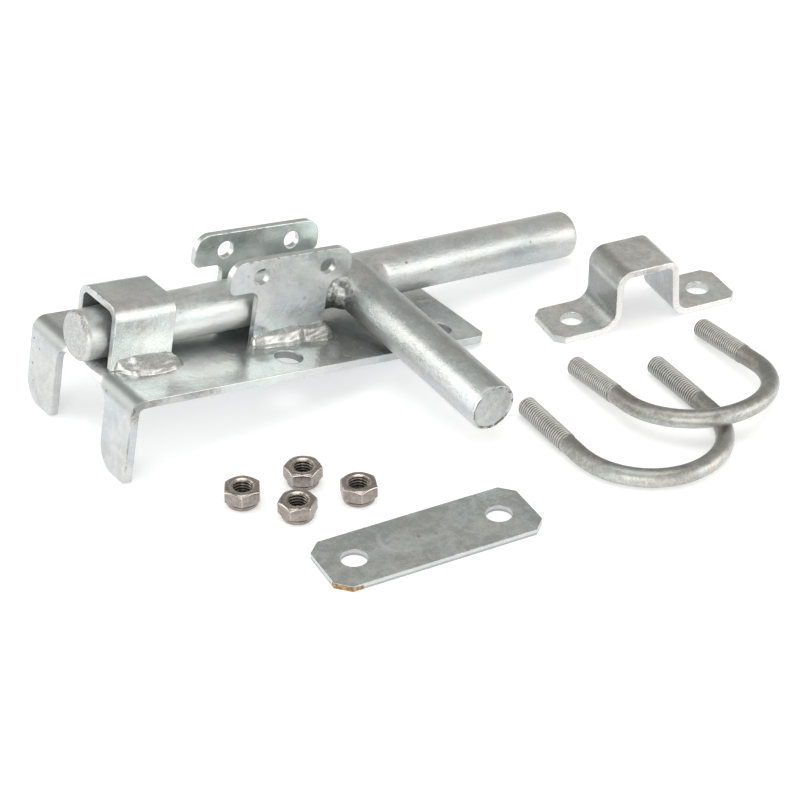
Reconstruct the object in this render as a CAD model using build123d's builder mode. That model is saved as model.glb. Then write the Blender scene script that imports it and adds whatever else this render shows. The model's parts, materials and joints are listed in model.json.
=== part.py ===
from build123d import *
from math import sin, cos, radians, sqrt
import os

os.makedirs("parts", exist_ok=True)

# ---------------------------------------------------------------------------
# Galvanised slide latch kit for a tube gate, laid out on a flat surface:
# a bent base plate with a guide strap and two T-shaped ears, a round bolt with
# a side handle, a hat-shaped keeper, a backing strap, two U-bolts and four
# self-locking nuts.  Millimetres, +Z up, the surface is z = 0.
# +X runs along the latch in plan, the origin is under the middle of the kit.
# ---------------------------------------------------------------------------

# layout offset, puts the origin under the middle of the bounding box
off_x, off_y = -21.82, 11.56

# base plate
plate_w = 75.0          # width across the latch
plate_l = 166.0         # outer face of the tabs to the far end
plate_t = 3.5           # thickness
tab_h = 34.6            # plate top to tab tip
bend_ri = 2.0           # inner bend radius
latch_x, latch_y = -110.66, 50.48   # middle of the bend edge, in plan
tilt = 10.6             # the plate stands on its tabs and slopes down to +X
notch_front, notch_rear = -18.6, 18.0    # sides of the notch between the tabs
notch_r = 7.0           # corner radius at the notch root
tab_r_big, tab_r_small = 9.5, 1.5        # tip radii of each tab
end_chamfer = 2.6       # corners of the far end
hole_x_mid, hole_x_far = 76.6, 149.9     # U-bolt holes along the plate
hole_y = 25.9           # distance of the holes from the centre line
hole_r = 5.45

# round bar
bar_r = 9.9
axis_y = 0.4            # centre line of bolt, guide and ears
axis_x0, axis_z0 = 5.0, 10.0     # a point of the bolt axis above the plate
bolt_rise = 2.12        # the bolt leans up in the slack of the guide, degrees
bolt_left, bolt_right = -9.0, 229.8      # ends, measured along the axis
handle_at = 116.2       # handle centre line along the bolt axis
handle_len = 98.0       # bolt axis to handle end
handle_droop = 5.2      # handle below the level of the plate, degrees
saddle_gap = 0.05       # running clearance between bar and handle saddle

# guide strap
guide_x0, guide_w = 4.6, 26.4
guide_t = 3.0
guide_out_w, guide_h = 27.2, 25.8
guide_ro = 6.0

# ears
ear_t = 3.0
ear_gap = 22.6          # between the inner faces
ear_x0, ear_x1 = 54.0, 110.4      # the front ear ends short of the handle
rear_ear_x1 = 112.2
ear_top, ear_under = 37.0, 23.5
stem_x0, stem_x1 = 67.6, 100.6
ear_r_top, ear_r_tip, ear_r_in = 7.0, 3.0, 4.0
lock_x = (68.0, 99.1)   # padlock holes
lock_z = 29.7
lock_r = 3.5

# weld beads
weld_leg = 4.6
guide_weld_leg = 4.2

# keeper
keeper_x, keeper_y, keeper_yaw = 117.97, -1.89, -11.6
keeper_w, keeper_t = 25.0, 3.0
keeper_len = 83.6
keeper_h = 26.9
keeper_left = -15.6                 # outer face of the upright wall
keeper_rt, keeper_rb = 12.4, 14.2   # leaning wall, top and bottom
keeper_ch = 3.8
keeper_pitch, keeper_hole_r = 58.9, 4.8
# inner bend radii: left foot, top left, top right, right foot
keeper_ri = (6.5, 4.0, 2.2, 4.5)

# backing strap
strap_x, strap_y, strap_yaw = -45.58, -79.90, -8.81
strap_l, strap_w, strap_t = 84.0, 29.4, 2.5
strap_ch, strap_pitch, strap_hole_r = 5.1, 58.7, 5.0

# U-bolts, M8 with rolled threads
ub_pitch, ub_leg = 60.0, 38.2
ub_thread_r, ub_shank_r, ub_thread_l = 4.0, 3.7, 29.0
ub_low = (63.56, -39.43, 4.0, -96.37, 0.0)     # x, y, z, yaw, lift angle
ub_up = (96.64, -29.14, 4.15, -97.52, 6.7)

# self-locking nuts, M8, collar side down
nut_af, nut_h, collar_h = 13.0, 8.0, 2.3
nut_bore_r = 3.4
nut_pose = ((-86.80, -21.44, 56.3), (-75.08, -40.35, 35.2),
            (-61.56, -23.82, 23.1), (-50.79, -44.53, 4.5))

# ---------------------------------------------------------------------------
# frames of reference
# ---------------------------------------------------------------------------
ct, st = cos(radians(tilt)), sin(radians(tilt))
X1 = Vector(ct, 0, -st)          # along the plate, down the slope
Y1 = Vector(0, 1, 0)
Z1 = Vector(st, 0, ct)           # normal of the plate
latch_z = plate_t * st + tab_h * ct      # inner corner of the tab tips on z = 0
O1 = Vector(latch_x + off_x, latch_y + off_y, latch_z)


def at(x, y, z):
    return O1 + X1 * x + Y1 * y + Z1 * z


def plate_plane(z):              # sketch x along the plate, y across
    return Plane(origin=at(0, 0, z), x_dir=X1, z_dir=Z1)


def side_plane(y):               # sketch x along the plate, y up, facing -Y
    return Plane(origin=at(0, y, 0), x_dir=X1, z_dir=-Y1)


def cross_plane(x):              # sketch x across the plate, y up, facing +X
    return Plane(origin=at(x, 0, 0), x_dir=Y1, z_dir=X1)


cb, sb = cos(radians(bolt_rise)), sin(radians(bolt_rise))
BU = X1 * cb + Z1 * sb           # bolt axis
BN = Z1 * cb - X1 * sb           # up, square to the bolt
B0 = at(axis_x0, axis_y, axis_z0)
ch_, sh_ = cos(radians(handle_droop)), sin(radians(handle_droop))
HD = Y1 * (-ch_) - BN * sh_      # handle axis
HN = BN * ch_ - Y1 * sh_         # square to handle and bolt
H0 = B0 + BU * handle_at


def near(*points):               # sketch vertices at the given sketch coordinates
    return lambda v: any(abs(v.X - a) + abs(v.Y - b) < 0.01 for a, b in points)


def bolt_plane(u):               # square to the bolt axis
    return Plane(origin=B0 + BU * u, x_dir=Y1, z_dir=BU)


def handle_plane(d):             # square to the handle axis
    return Plane(origin=H0 + HD * d, x_dir=BU, z_dir=HD)


# ---------------------------------------------------------------------------
# base plate: flat bar bent down into two tabs with a notch between them
# ---------------------------------------------------------------------------
with BuildPart() as base_plate:
    with BuildSketch(side_plane(0)) as plate_side:
        with BuildLine():
            Polyline((0, -tab_h), (0, 0), (plate_l, 0), (plate_l, -plate_t),
                     (plate_t, -plate_t), (plate_t, -tab_h), close=True)
        make_face()
        fillet(plate_side.vertices().filter_by(near((0, 0))), bend_ri + plate_t)
        fillet(plate_side.vertices().filter_by(near((plate_t, -plate_t))), bend_ri)
    extrude(amount=plate_w / 2, both=True)
    # notch between the tabs
    with BuildSketch(cross_plane(-1)) as notch:
        with BuildLine():
            Polyline((notch_front, -tab_h - 1), (notch_front, -plate_t),
                     (notch_rear, -plate_t), (notch_rear, -tab_h - 1), close=True)
        make_face()
        fillet(notch.vertices().filter_by(
            near((notch_front, -plate_t), (notch_rear, -plate_t))), notch_r)
    extrude(amount=1 + plate_t + bend_ri, mode=Mode.SUBTRACT)
    # U-bolt holes
    with BuildSketch(plate_plane(1)):
        with Locations((hole_x_mid, -hole_y), (hole_x_mid, hole_y),
                       (hole_x_far, -hole_y), (hole_x_far, hole_y)):
            Circle(hole_r)
    extrude(amount=-plate_t - 2, mode=Mode.SUBTRACT)
    # rounded tab tips, the rear corner of each tab is the larger one
    for y, r in ((-plate_w / 2, tab_r_small), (notch_front, tab_r_big),
                 (notch_rear, tab_r_small), (plate_w / 2, tab_r_big)):
        fillet(base_plate.edges().filter_by(
            lambda e: abs(e.length - plate_t) < 0.01
            and abs((e.center() - at(0, y, -tab_h)).dot(Y1)) < 0.01
            and abs((e.center() - at(0, y, -tab_h)).dot(Z1)) < 0.01), r)
    # corners of the far end
    chamfer(base_plate.edges().filter_by(
        lambda e: abs(e.length - plate_t) < 0.01
        and abs((e.center() - at(plate_l, 0, 0)).dot(X1)) < 0.01
        and abs((e.center() - at(0, 0, 0)).dot(Y1)) > plate_w / 2 - 0.01), end_chamfer)
base_plate.part.label = "base_plate"

# ---------------------------------------------------------------------------
# guide strap: flat bar bent over the bolt, standing on the plate
# ---------------------------------------------------------------------------
with BuildPart() as guide_strap:
    with BuildSketch(cross_plane(guide_x0)) as hoop:
        with Locations((axis_y - 0.3, guide_h / 2)):
            Rectangle(guide_out_w, guide_h)
        fillet(hoop.vertices().group_by(Axis.Y)[-1], guide_ro)
    extrude(amount=guide_w)
    with BuildSketch(cross_plane(guide_x0 - 1)) as hoop_in:
        with Locations((axis_y - 0.3, (guide_h - guide_t) / 2 - 1)):
            Rectangle(guide_out_w - 2 * guide_t, guide_h - guide_t + 2)
        fillet(hoop_in.vertices().group_by(Axis.Y)[-1], guide_ro - guide_t)
    extrude(amount=guide_w + 2, mode=Mode.SUBTRACT)
guide_strap.part.label = "guide_strap"


# ---------------------------------------------------------------------------
# ears: T-shaped plates with two padlock holes each
# ---------------------------------------------------------------------------
def ear_outline(x1):
    return [(stem_x0, 0), (stem_x0, ear_under), (ear_x0, ear_under), (ear_x0, ear_top),
            (x1, ear_top), (x1, ear_under), (stem_x1, ear_under), (stem_x1, 0)]


front_ear_face = axis_y + 0.2 - ear_gap / 2 - ear_t      # outer face of the front ear
rear_ear_face = axis_y + 0.2 + ear_gap / 2               # inner face of the rear ear

with BuildPart() as front_ear:
    with BuildSketch(side_plane(front_ear_face)) as tee:
        with BuildLine():
            Polyline(*ear_outline(ear_x1), close=True)
        make_face()
        fillet(tee.vertices().filter_by(near((ear_x0, ear_top), (ear_x1, ear_top))), ear_r_top)
        fillet(tee.vertices().filter_by(near((ear_x0, ear_under), (ear_x1, ear_under))), ear_r_tip)
        fillet(tee.vertices().filter_by(near((stem_x0, ear_under), (stem_x1, ear_under))), ear_r_in)
        with Locations(*[(x, lock_z) for x in lock_x]):
            Circle(lock_r, mode=Mode.SUBTRACT)
    extrude(amount=-ear_t)
front_ear.part.label = "front_ear"

with BuildPart() as rear_ear:
    with BuildSketch(side_plane(rear_ear_face)) as tee2:
        with BuildLine():
            Polyline(*ear_outline(rear_ear_x1), close=True)
        make_face()
        fillet(tee2.vertices().filter_by(near((ear_x0, ear_top), (rear_ear_x1, ear_top))), ear_r_top)
        fillet(tee2.vertices().filter_by(near((ear_x0, ear_under), (rear_ear_x1, ear_under))), ear_r_tip)
        fillet(tee2.vertices().filter_by(near((stem_x0, ear_under), (stem_x1, ear_under))), ear_r_in)
        with Locations(*[(x, lock_z) for x in lock_x]):
            Circle(lock_r, mode=Mode.SUBTRACT)
    extrude(amount=-ear_t)
rear_ear.part.label = "rear_ear"


# ---------------------------------------------------------------------------
# weld beads: fillets along the feet of the guide strap and the ears
# ---------------------------------------------------------------------------
def bead_section(foot, leg, out):
    # foot: y of the wall, out: -1 towards the front, +1 towards the rear
    return [(foot, 0), (foot, leg), (foot + out * leg * 0.62, leg * 0.62), (foot + out * leg, 0)]


guide_front_face = axis_y - 0.3 - guide_out_w / 2
guide_rear_face = axis_y - 0.3 + guide_out_w / 2

with BuildPart() as guide_weld_front:
    with BuildSketch(cross_plane(guide_x0 + 3.0)):
        with BuildLine():
            Polyline(*bead_section(guide_front_face, guide_weld_leg, -1), close=True)
        make_face()
    extrude(amount=guide_w - 3.0)
guide_weld_front.part.label = "guide_weld_front"

with BuildPart() as guide_weld_rear:
    with BuildSketch(cross_plane(guide_x0 + 3.0)):
        with BuildLine():
            Polyline(*bead_section(guide_rear_face, guide_weld_leg, 1), close=True)
        make_face()
    extrude(amount=guide_w - 3.0)
guide_weld_rear.part.label = "guide_weld_rear"

with BuildPart() as ear_weld_front:
    with BuildSketch(cross_plane(stem_x0)):
        with BuildLine():
            Polyline(*bead_section(front_ear_face, weld_leg, -1), close=True)
        make_face()
    extrude(amount=stem_x1 - stem_x0)
ear_weld_front.part.label = "ear_weld_front"

with BuildPart() as ear_weld_rear:
    with BuildSketch(cross_plane(stem_x0)):
        with BuildLine():
            Polyline(*bead_section(rear_ear_face + ear_t, weld_leg, 1), close=True)
        make_face()
    extrude(amount=stem_x1 - stem_x0)
ear_weld_rear.part.label = "ear_weld_rear"

# ---------------------------------------------------------------------------
# bolt and handle: two lengths of the same round bar, joined at a saddle
# ---------------------------------------------------------------------------
with BuildPart() as bolt_rod:
    with BuildSketch(bolt_plane(bolt_left)):
        Circle(bar_r)
    extrude(amount=bolt_right - bolt_left)
    ends = bolt_rod.edges().filter_by(GeomType.CIRCLE).sort_by(Axis(B0, BU))
    chamfer(ends[0], 1.2)
    fillet(ends[-1], 3.0)
bolt_rod.part.label = "bolt_rod"

with BuildPart() as handle_rod:
    with BuildSketch(handle_plane(2.0)):
        Circle(bar_r)
    extrude(amount=handle_len - 2.0)
    fillet(handle_rod.edges().filter_by(GeomType.CIRCLE).sort_by(Axis(H0, HD))[-1], 0.9)
    with BuildSketch(bolt_plane(handle_at - 20)):
        Circle(bar_r + saddle_gap)
    extrude(amount=40, mode=Mode.SUBTRACT)
handle_rod.part.label = "handle_rod"

# weld lumps on both sides of the handle root
with BuildPart() as handle_weld:
    with BuildSketch(Plane(origin=H0, x_dir=BU, z_dir=HN)):
        for s in (1, -1):
            with BuildLine():
                Polyline((s * (bar_r - 1.2), -5.0), (s * (bar_r + 2.6), -5.0),
                         (s * (bar_r + 2.6), -9.6), (s * bar_r, -12.8),
                         (s * (bar_r - 1.2), -12.8), close=True)
            make_face()
    extrude(amount=5.2, both=True)
    with BuildSketch(handle_plane(0)):
        Circle(bar_r)
    extrude(amount=20, mode=Mode.SUBTRACT)
    with BuildSketch(bolt_plane(handle_at - 20)):
        Circle(bar_r + saddle_gap)
    extrude(amount=40, mode=Mode.SUBTRACT)
handle_weld.part.label = "handle_weld"

# ---------------------------------------------------------------------------
# keeper: hat-shaped bracket that takes the end of the bolt
# ---------------------------------------------------------------------------
ky = radians(keeper_yaw)
KX = Vector(cos(ky), sin(ky), 0)
KY = Vector(-sin(ky), cos(ky), 0)
KO = Vector(keeper_x + off_x, keeper_y + off_y, 0)
lean = (keeper_rb - keeper_rt) / keeper_h
with BuildPart() as keeper:
    with BuildSketch(Plane(origin=KO, x_dir=KX, z_dir=-KY)) as hat:
        half = keeper_len / 2
        t, h = keeper_t, keeper_h
        with BuildLine():
            Polyline((-half, 0), (-half, t), (keeper_left, t), (keeper_left, h),
                     (keeper_rt, h), (keeper_rb - lean * t, t), (half, t), (half, 0),
                     (keeper_rb - t, 0), (keeper_rt - t + lean * t, h - t),
                     (keeper_left + t, h - t), (keeper_left + t, 0), close=True)
        make_face()
        r1, r2, r3, r4 = keeper_ri
        for px, pz, r in ((keeper_left, t, r1), (keeper_left + t, 0, r1 + t),
                          (keeper_left, h, r2 + t), (keeper_left + t, h - t, r2),
                          (keeper_rt, h, r3 + t), (keeper_rt - t + lean * t, h - t, r3),
                          (keeper_rb - lean * t, t, r4), (keeper_rb - t, 0, r4 + t)):
            fillet(hat.vertices().filter_by(near((px, pz))), r)
    extrude(amount=keeper_w / 2, both=True)
    with BuildSketch(Plane(origin=KO + Vector(0, 0, keeper_t + 1), x_dir=KX, z_dir=(0, 0, 1))):
        with Locations((-keeper_pitch / 2, 0), (keeper_pitch / 2, 0)):
            Circle(keeper_hole_r)
    extrude(amount=-keeper_t - 2, mode=Mode.SUBTRACT)
    chamfer(keeper.edges().filter_by(
        lambda e: abs(e.length - keeper_t) < 0.01
        and abs(abs((e.center() - KO).dot(KX)) - keeper_len / 2) < 0.01), keeper_ch)
keeper.part.label = "keeper"

# ---------------------------------------------------------------------------
# backing strap
# ---------------------------------------------------------------------------
sy = radians(strap_yaw)
with BuildPart() as backing_strap:
    with BuildSketch(Plane(origin=(strap_x + off_x, strap_y + off_y, 0),
                           x_dir=(cos(sy), sin(sy), 0), z_dir=(0, 0, 1))) as strap_face:
        Rectangle(strap_l, strap_w)
        chamfer(strap_face.vertices(), strap_ch)
        with Locations((-strap_pitch / 2, 0), (strap_pitch / 2, 0)):
            Circle(strap_hole_r, mode=Mode.SUBTRACT)
    extrude(amount=strap_t)
backing_strap.part.label = "backing_strap"

# ---------------------------------------------------------------------------
# U-bolts: round wire bent through a half circle, both legs threaded
# ---------------------------------------------------------------------------
ub_parts = []
for name, (ux, uy, uz, uyaw, lift) in (("ubolt_lower", ub_low), ("ubolt_upper", ub_up)):
    a, b = radians(uyaw), radians(lift)
    UD = Vector(cos(a) * cos(b), sin(a) * cos(b), sin(b))      # leg ends to the bend
    UV = Vector(-sin(a), cos(a), 0)                            # across the legs
    UO = Vector(ux + off_x, uy + off_y, uz)
    R = ub_pitch / 2
    with BuildPart() as ubolt:
        with BuildLine(Plane(origin=UO, x_dir=UD, z_dir=UD.cross(UV))) as ub_path:
            l1 = Line((0.4, -R), (ub_leg, -R))
            l2 = ThreePointArc((ub_leg, -R), (ub_leg + R, 0), (ub_leg, R))
            l3 = Line((ub_leg, R), (0.4, R))
        with BuildSketch(Plane(origin=UO - UV * R + UD * 0.4, x_dir=UV, z_dir=UD)):
            Circle(ub_shank_r)
        sweep(path=ub_path.wire())
        for s in (-1, 1):
            with BuildSketch(Plane(origin=UO + UV * (R * s), x_dir=UV, z_dir=UD)):
                Circle(ub_thread_r)
            extrude(amount=ub_thread_l)
        chamfer(ubolt.edges().filter_by(GeomType.CIRCLE).filter_by(
            lambda e: abs((e.arc_center - UO).dot(UD)) < 0.01), 0.8)
    ubolt.part.label = name
    ub_parts.append(ubolt)
ubolt_lower, ubolt_upper = ub_parts

# ---------------------------------------------------------------------------
# self-locking nuts: hexagon above, rounded collar below with the locking ring
# ---------------------------------------------------------------------------
nut_parts = []
for i, (nx, ny, nyaw) in enumerate(nut_pose, 1):
    NO = Vector(nx + off_x, ny + off_y, 0)
    na = radians(nyaw)
    NX = Vector(cos(na), sin(na), 0)
    with BuildPart() as nut:
        with BuildSketch(Plane(origin=NO, x_dir=NX, z_dir=(0, 0, 1))):
            RegularPolygon(nut_af / sqrt(3), 6)
        extrude(amount=nut_h)
        with BuildSketch(Plane(origin=NO, x_dir=NX, z_dir=NX.cross(Vector(0, 0, 1)))):
            with BuildLine():
                Polyline((0, 0), (5.1, 0), (5.8, 0.7), (6.05, 1.6), (6.1, collar_h - 0.1),
                         (7.7, collar_h + 0.75), (7.7, nut_h - 0.95), (6.05, nut_h),
                         (0, nut_h), close=True)
            make_face()
        revolve(axis=Axis(NO, (0, 0, 1)), mode=Mode.INTERSECT)
        # thread bore with a small countersink, and the seat of the locking ring
        with BuildSketch(Plane(origin=NO, x_dir=NX, z_dir=NX.cross(Vector(0, 0, 1)))):
            with BuildLine():
                Polyline((0, 0), (4.3, 0), (4.3, 0.4), (4.8, 0.4), (4.8, collar_h),
                         (nut_bore_r, collar_h), (nut_bore_r, nut_h - 0.7),
                         (nut_bore_r + 0.7, nut_h), (0, nut_h), close=True)
            make_face()
        revolve(axis=Axis(NO, (0, 0, 1)), mode=Mode.SUBTRACT)
    nut.part.label = f"nut_{i}"
    with BuildPart() as ring:
        with BuildSketch(Plane(origin=NO + Vector(0, 0, 0.4), x_dir=NX, z_dir=(0, 0, 1))):
            Circle(4.8)
            Circle(3.7, mode=Mode.SUBTRACT)
        extrude(amount=collar_h - 0.4)
    ring.part.label = f"nut_insert_{i}"
    nut_parts.append((nut, ring))

# ---------------------------------------------------------------------------
# one file per piece
# ---------------------------------------------------------------------------
export_step(base_plate.part, "parts/base_plate.step")
export_step(guide_strap.part, "parts/guide_strap.step")
export_step(front_ear.part, "parts/front_ear.step")
export_step(rear_ear.part, "parts/rear_ear.step")
export_step(guide_weld_front.part, "parts/guide_weld_front.step")
export_step(guide_weld_rear.part, "parts/guide_weld_rear.step")
export_step(ear_weld_front.part, "parts/ear_weld_front.step")
export_step(ear_weld_rear.part, "parts/ear_weld_rear.step")
export_step(bolt_rod.part, "parts/bolt_rod.step")
export_step(handle_rod.part, "parts/handle_rod.step")
export_step(handle_weld.part, "parts/handle_weld.step")
export_step(keeper.part, "parts/keeper.step")
export_step(backing_strap.part, "parts/backing_strap.step")
export_step(ubolt_lower.part, "parts/ubolt_lower.step")
export_step(ubolt_upper.part, "parts/ubolt_upper.step")
for i, (nut, ring) in enumerate(nut_parts, 1):
    export_step(nut.part, f"parts/nut_{i}.step")
    export_step(ring.part, f"parts/nut_insert_{i}.step")

lo = Vector(1e9, 1e9, 1e9)
hi = Vector(-1e9, -1e9, -1e9)
for p in [base_plate, guide_strap, front_ear, rear_ear, bolt_rod, handle_rod, keeper,
          backing_strap, ubolt_lower, ubolt_upper] + [n for n, r in nut_parts]:
    bb = p.part.bounding_box()
    lo = Vector(min(lo.X, bb.min.X), min(lo.Y, bb.min.Y), min(lo.Z, bb.min.Z))
    hi = Vector(max(hi.X, bb.max.X), max(hi.Y, bb.max.Y), max(hi.Z, bb.max.Z))
print("bounds", lo, hi, "centre", (lo + hi) * 0.5)
print("latch origin", at(0, 0, 0), "X1", X1, "Z1", Z1)
print("bolt axis point", B0, "direction", BU, "handle root", H0, "handle direction", HD)
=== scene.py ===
import json
import math
import bpy
import bmesh
from mathutils import Vector, Matrix, noise


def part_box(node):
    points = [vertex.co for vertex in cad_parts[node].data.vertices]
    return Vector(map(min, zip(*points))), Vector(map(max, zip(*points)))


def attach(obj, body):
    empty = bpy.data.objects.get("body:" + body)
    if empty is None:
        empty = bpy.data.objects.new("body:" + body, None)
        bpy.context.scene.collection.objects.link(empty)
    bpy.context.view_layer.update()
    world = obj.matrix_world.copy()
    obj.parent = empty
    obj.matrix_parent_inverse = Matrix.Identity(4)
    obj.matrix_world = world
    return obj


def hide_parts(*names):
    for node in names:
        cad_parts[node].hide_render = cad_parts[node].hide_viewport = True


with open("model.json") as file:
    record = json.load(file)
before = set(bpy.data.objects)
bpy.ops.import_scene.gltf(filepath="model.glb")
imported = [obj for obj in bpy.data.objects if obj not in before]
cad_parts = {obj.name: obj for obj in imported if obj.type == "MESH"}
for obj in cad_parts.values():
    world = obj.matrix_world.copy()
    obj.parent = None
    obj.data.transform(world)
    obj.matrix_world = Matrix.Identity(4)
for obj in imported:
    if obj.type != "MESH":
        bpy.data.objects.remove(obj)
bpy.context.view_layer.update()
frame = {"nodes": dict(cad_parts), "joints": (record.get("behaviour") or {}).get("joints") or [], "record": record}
NODES = frame["nodes"]
MM = 0.001


# ----------------------------------------------------------------- shared directions, from the row's own mounts
def mount(name):
    for m in frame["record"]["mounts"]:
        if m["name"] == name:
            return m
    raise KeyError(name)


YAXIS = Vector((0.0, 1.0, 0.0))
BU = Vector(mount("bolt_nose")["axis"]).normalized()          # along the bolt
BW = BU.cross(YAXIS).normalized()                             # across the bolt, upwards
BEND = Vector(mount("bolt_nose")["pos_m"]) + BU * 2.0 * MM    # middle of the bolt's right end face
PZ = Vector(mount("plate_holes_mid")["axis"]).normalized()    # normal of the plate
PX = YAXIS.cross(PZ).normalized()                             # along the plate
PO = Vector(mount("plate_holes_mid")["pos_m"]) - PX * 76.6 * MM   # left end of the plate's top, on its centreline


def at(x, y, z):
    """A point of the latch: x along the plate from its left end, y across it, z above its top, in mm."""
    return PO + PX * (x * MM) + YAXIS * (y * MM) + PZ * (z * MM)


hinge = [j for j in frame["joints"] if j["name"] == "handle_turn"][0]
HROOT = Vector(hinge["pos_m"])
HD = Vector((-0.013365, -0.995884, -0.089642)).normalized()   # along the handle, away from the bolt
HB = BU.copy()
HN = HD.cross(HB).normalized()


# ----------------------------------------------------------------- noise helpers
def n3(p, s=1.0, seed=0.0):
    return noise.noise(Vector((p[0] * s + seed * 17.3, p[1] * s - seed * 9.1, p[2] * s + seed * 4.7)))


def fbm(p, s=1.0, octaves=4, seed=0.0):
    v, a, f, t = 0.0, 1.0, s, 0.0
    for k in range(octaves):
        v += a * n3(p, f, seed + k * 1.37)
        t += a
        a *= 0.5
        f *= 2.07
    return v / t


def smooth(a, b, x):
    if a == b:
        return 0.0 if x < a else 1.0
    t = min(1.0, max(0.0, (x - a) / (b - a)))
    return t * t * (3 - 2 * t)


# ----------------------------------------------------------------- mesh helpers
def make(name, verts, faces, angle=35.0, mat_index=None, weld=1e-7):
    me = bpy.data.meshes.new(name)
    me.from_pydata([tuple(v) for v in verts], [], faces)
    bm = bmesh.new()
    bm.from_mesh(me)
    bmesh.ops.remove_doubles(bm, verts=bm.verts, dist=weld)
    bmesh.ops.recalc_face_normals(bm, faces=bm.faces)
    bm.to_mesh(me)
    bm.free()
    ob = bpy.data.objects.new(name, me)
    bpy.context.scene.collection.objects.link(ob)
    for p in me.polygons:
        p.use_smooth = True
    if angle is not None:
        me.set_sharp_from_angle(angle=math.radians(angle))
    return ob


def grid_faces(nu, nv, close_u=False, close_v=False):
    f = []
    for i in range(nu if close_u else nu - 1):
        for j in range(nv if close_v else nv - 1):
            a = i * nv + j
            b = ((i + 1) % nu) * nv + j
            c = ((i + 1) % nu) * nv + (j + 1) % nv
            d = i * nv + (j + 1) % nv
            f.append((a, b, c, d))
    return f


def soften(node, width=0.55, segs=3, angle=28.0, lump=0.0):
    """A copy of a CAD node with its sharp edges rounded as dipped zinc leaves them; it stands for the node."""
    src = NODES[node]
    me = bpy.data.meshes.new(node + "_skin")
    bm = bmesh.new()
    bm.from_mesh(src.data)
    bmesh.ops.remove_doubles(bm, verts=bm.verts, dist=2e-6)
    bmesh.ops.dissolve_limit(bm, angle_limit=math.radians(0.8), verts=bm.verts, edges=bm.edges)
    edges = [e for e in bm.edges if len(e.link_faces) == 2 and e.calc_face_angle(0.0) > math.radians(angle)]
    for f in bm.faces:
        f.material_index = 0
    bmesh.ops.bevel(bm, geom=edges, offset=width * MM, offset_type="OFFSET", segments=segs, profile=0.5,
                    affect="EDGES", clamp_overlap=True, material=1)
    bmesh.ops.triangulate(bm, faces=[f for f in bm.faces if len(f.verts) > 4], quad_method="BEAUTY", ngon_method="BEAUTY")
    bmesh.ops.recalc_face_normals(bm, faces=bm.faces)
    bm.to_mesh(me)
    bm.free()
    ob = bpy.data.objects.new(node + "_skin", me)
    bpy.context.scene.collection.objects.link(ob)
    for p in me.polygons:
        p.use_smooth = True
    me.set_sharp_from_angle(angle=math.radians(40.0))
    wn = ob.modifiers.new("even_normals", "WEIGHTED_NORMAL")
    wn.keep_sharp = True
    wn.weight = 80
    return ob


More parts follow.
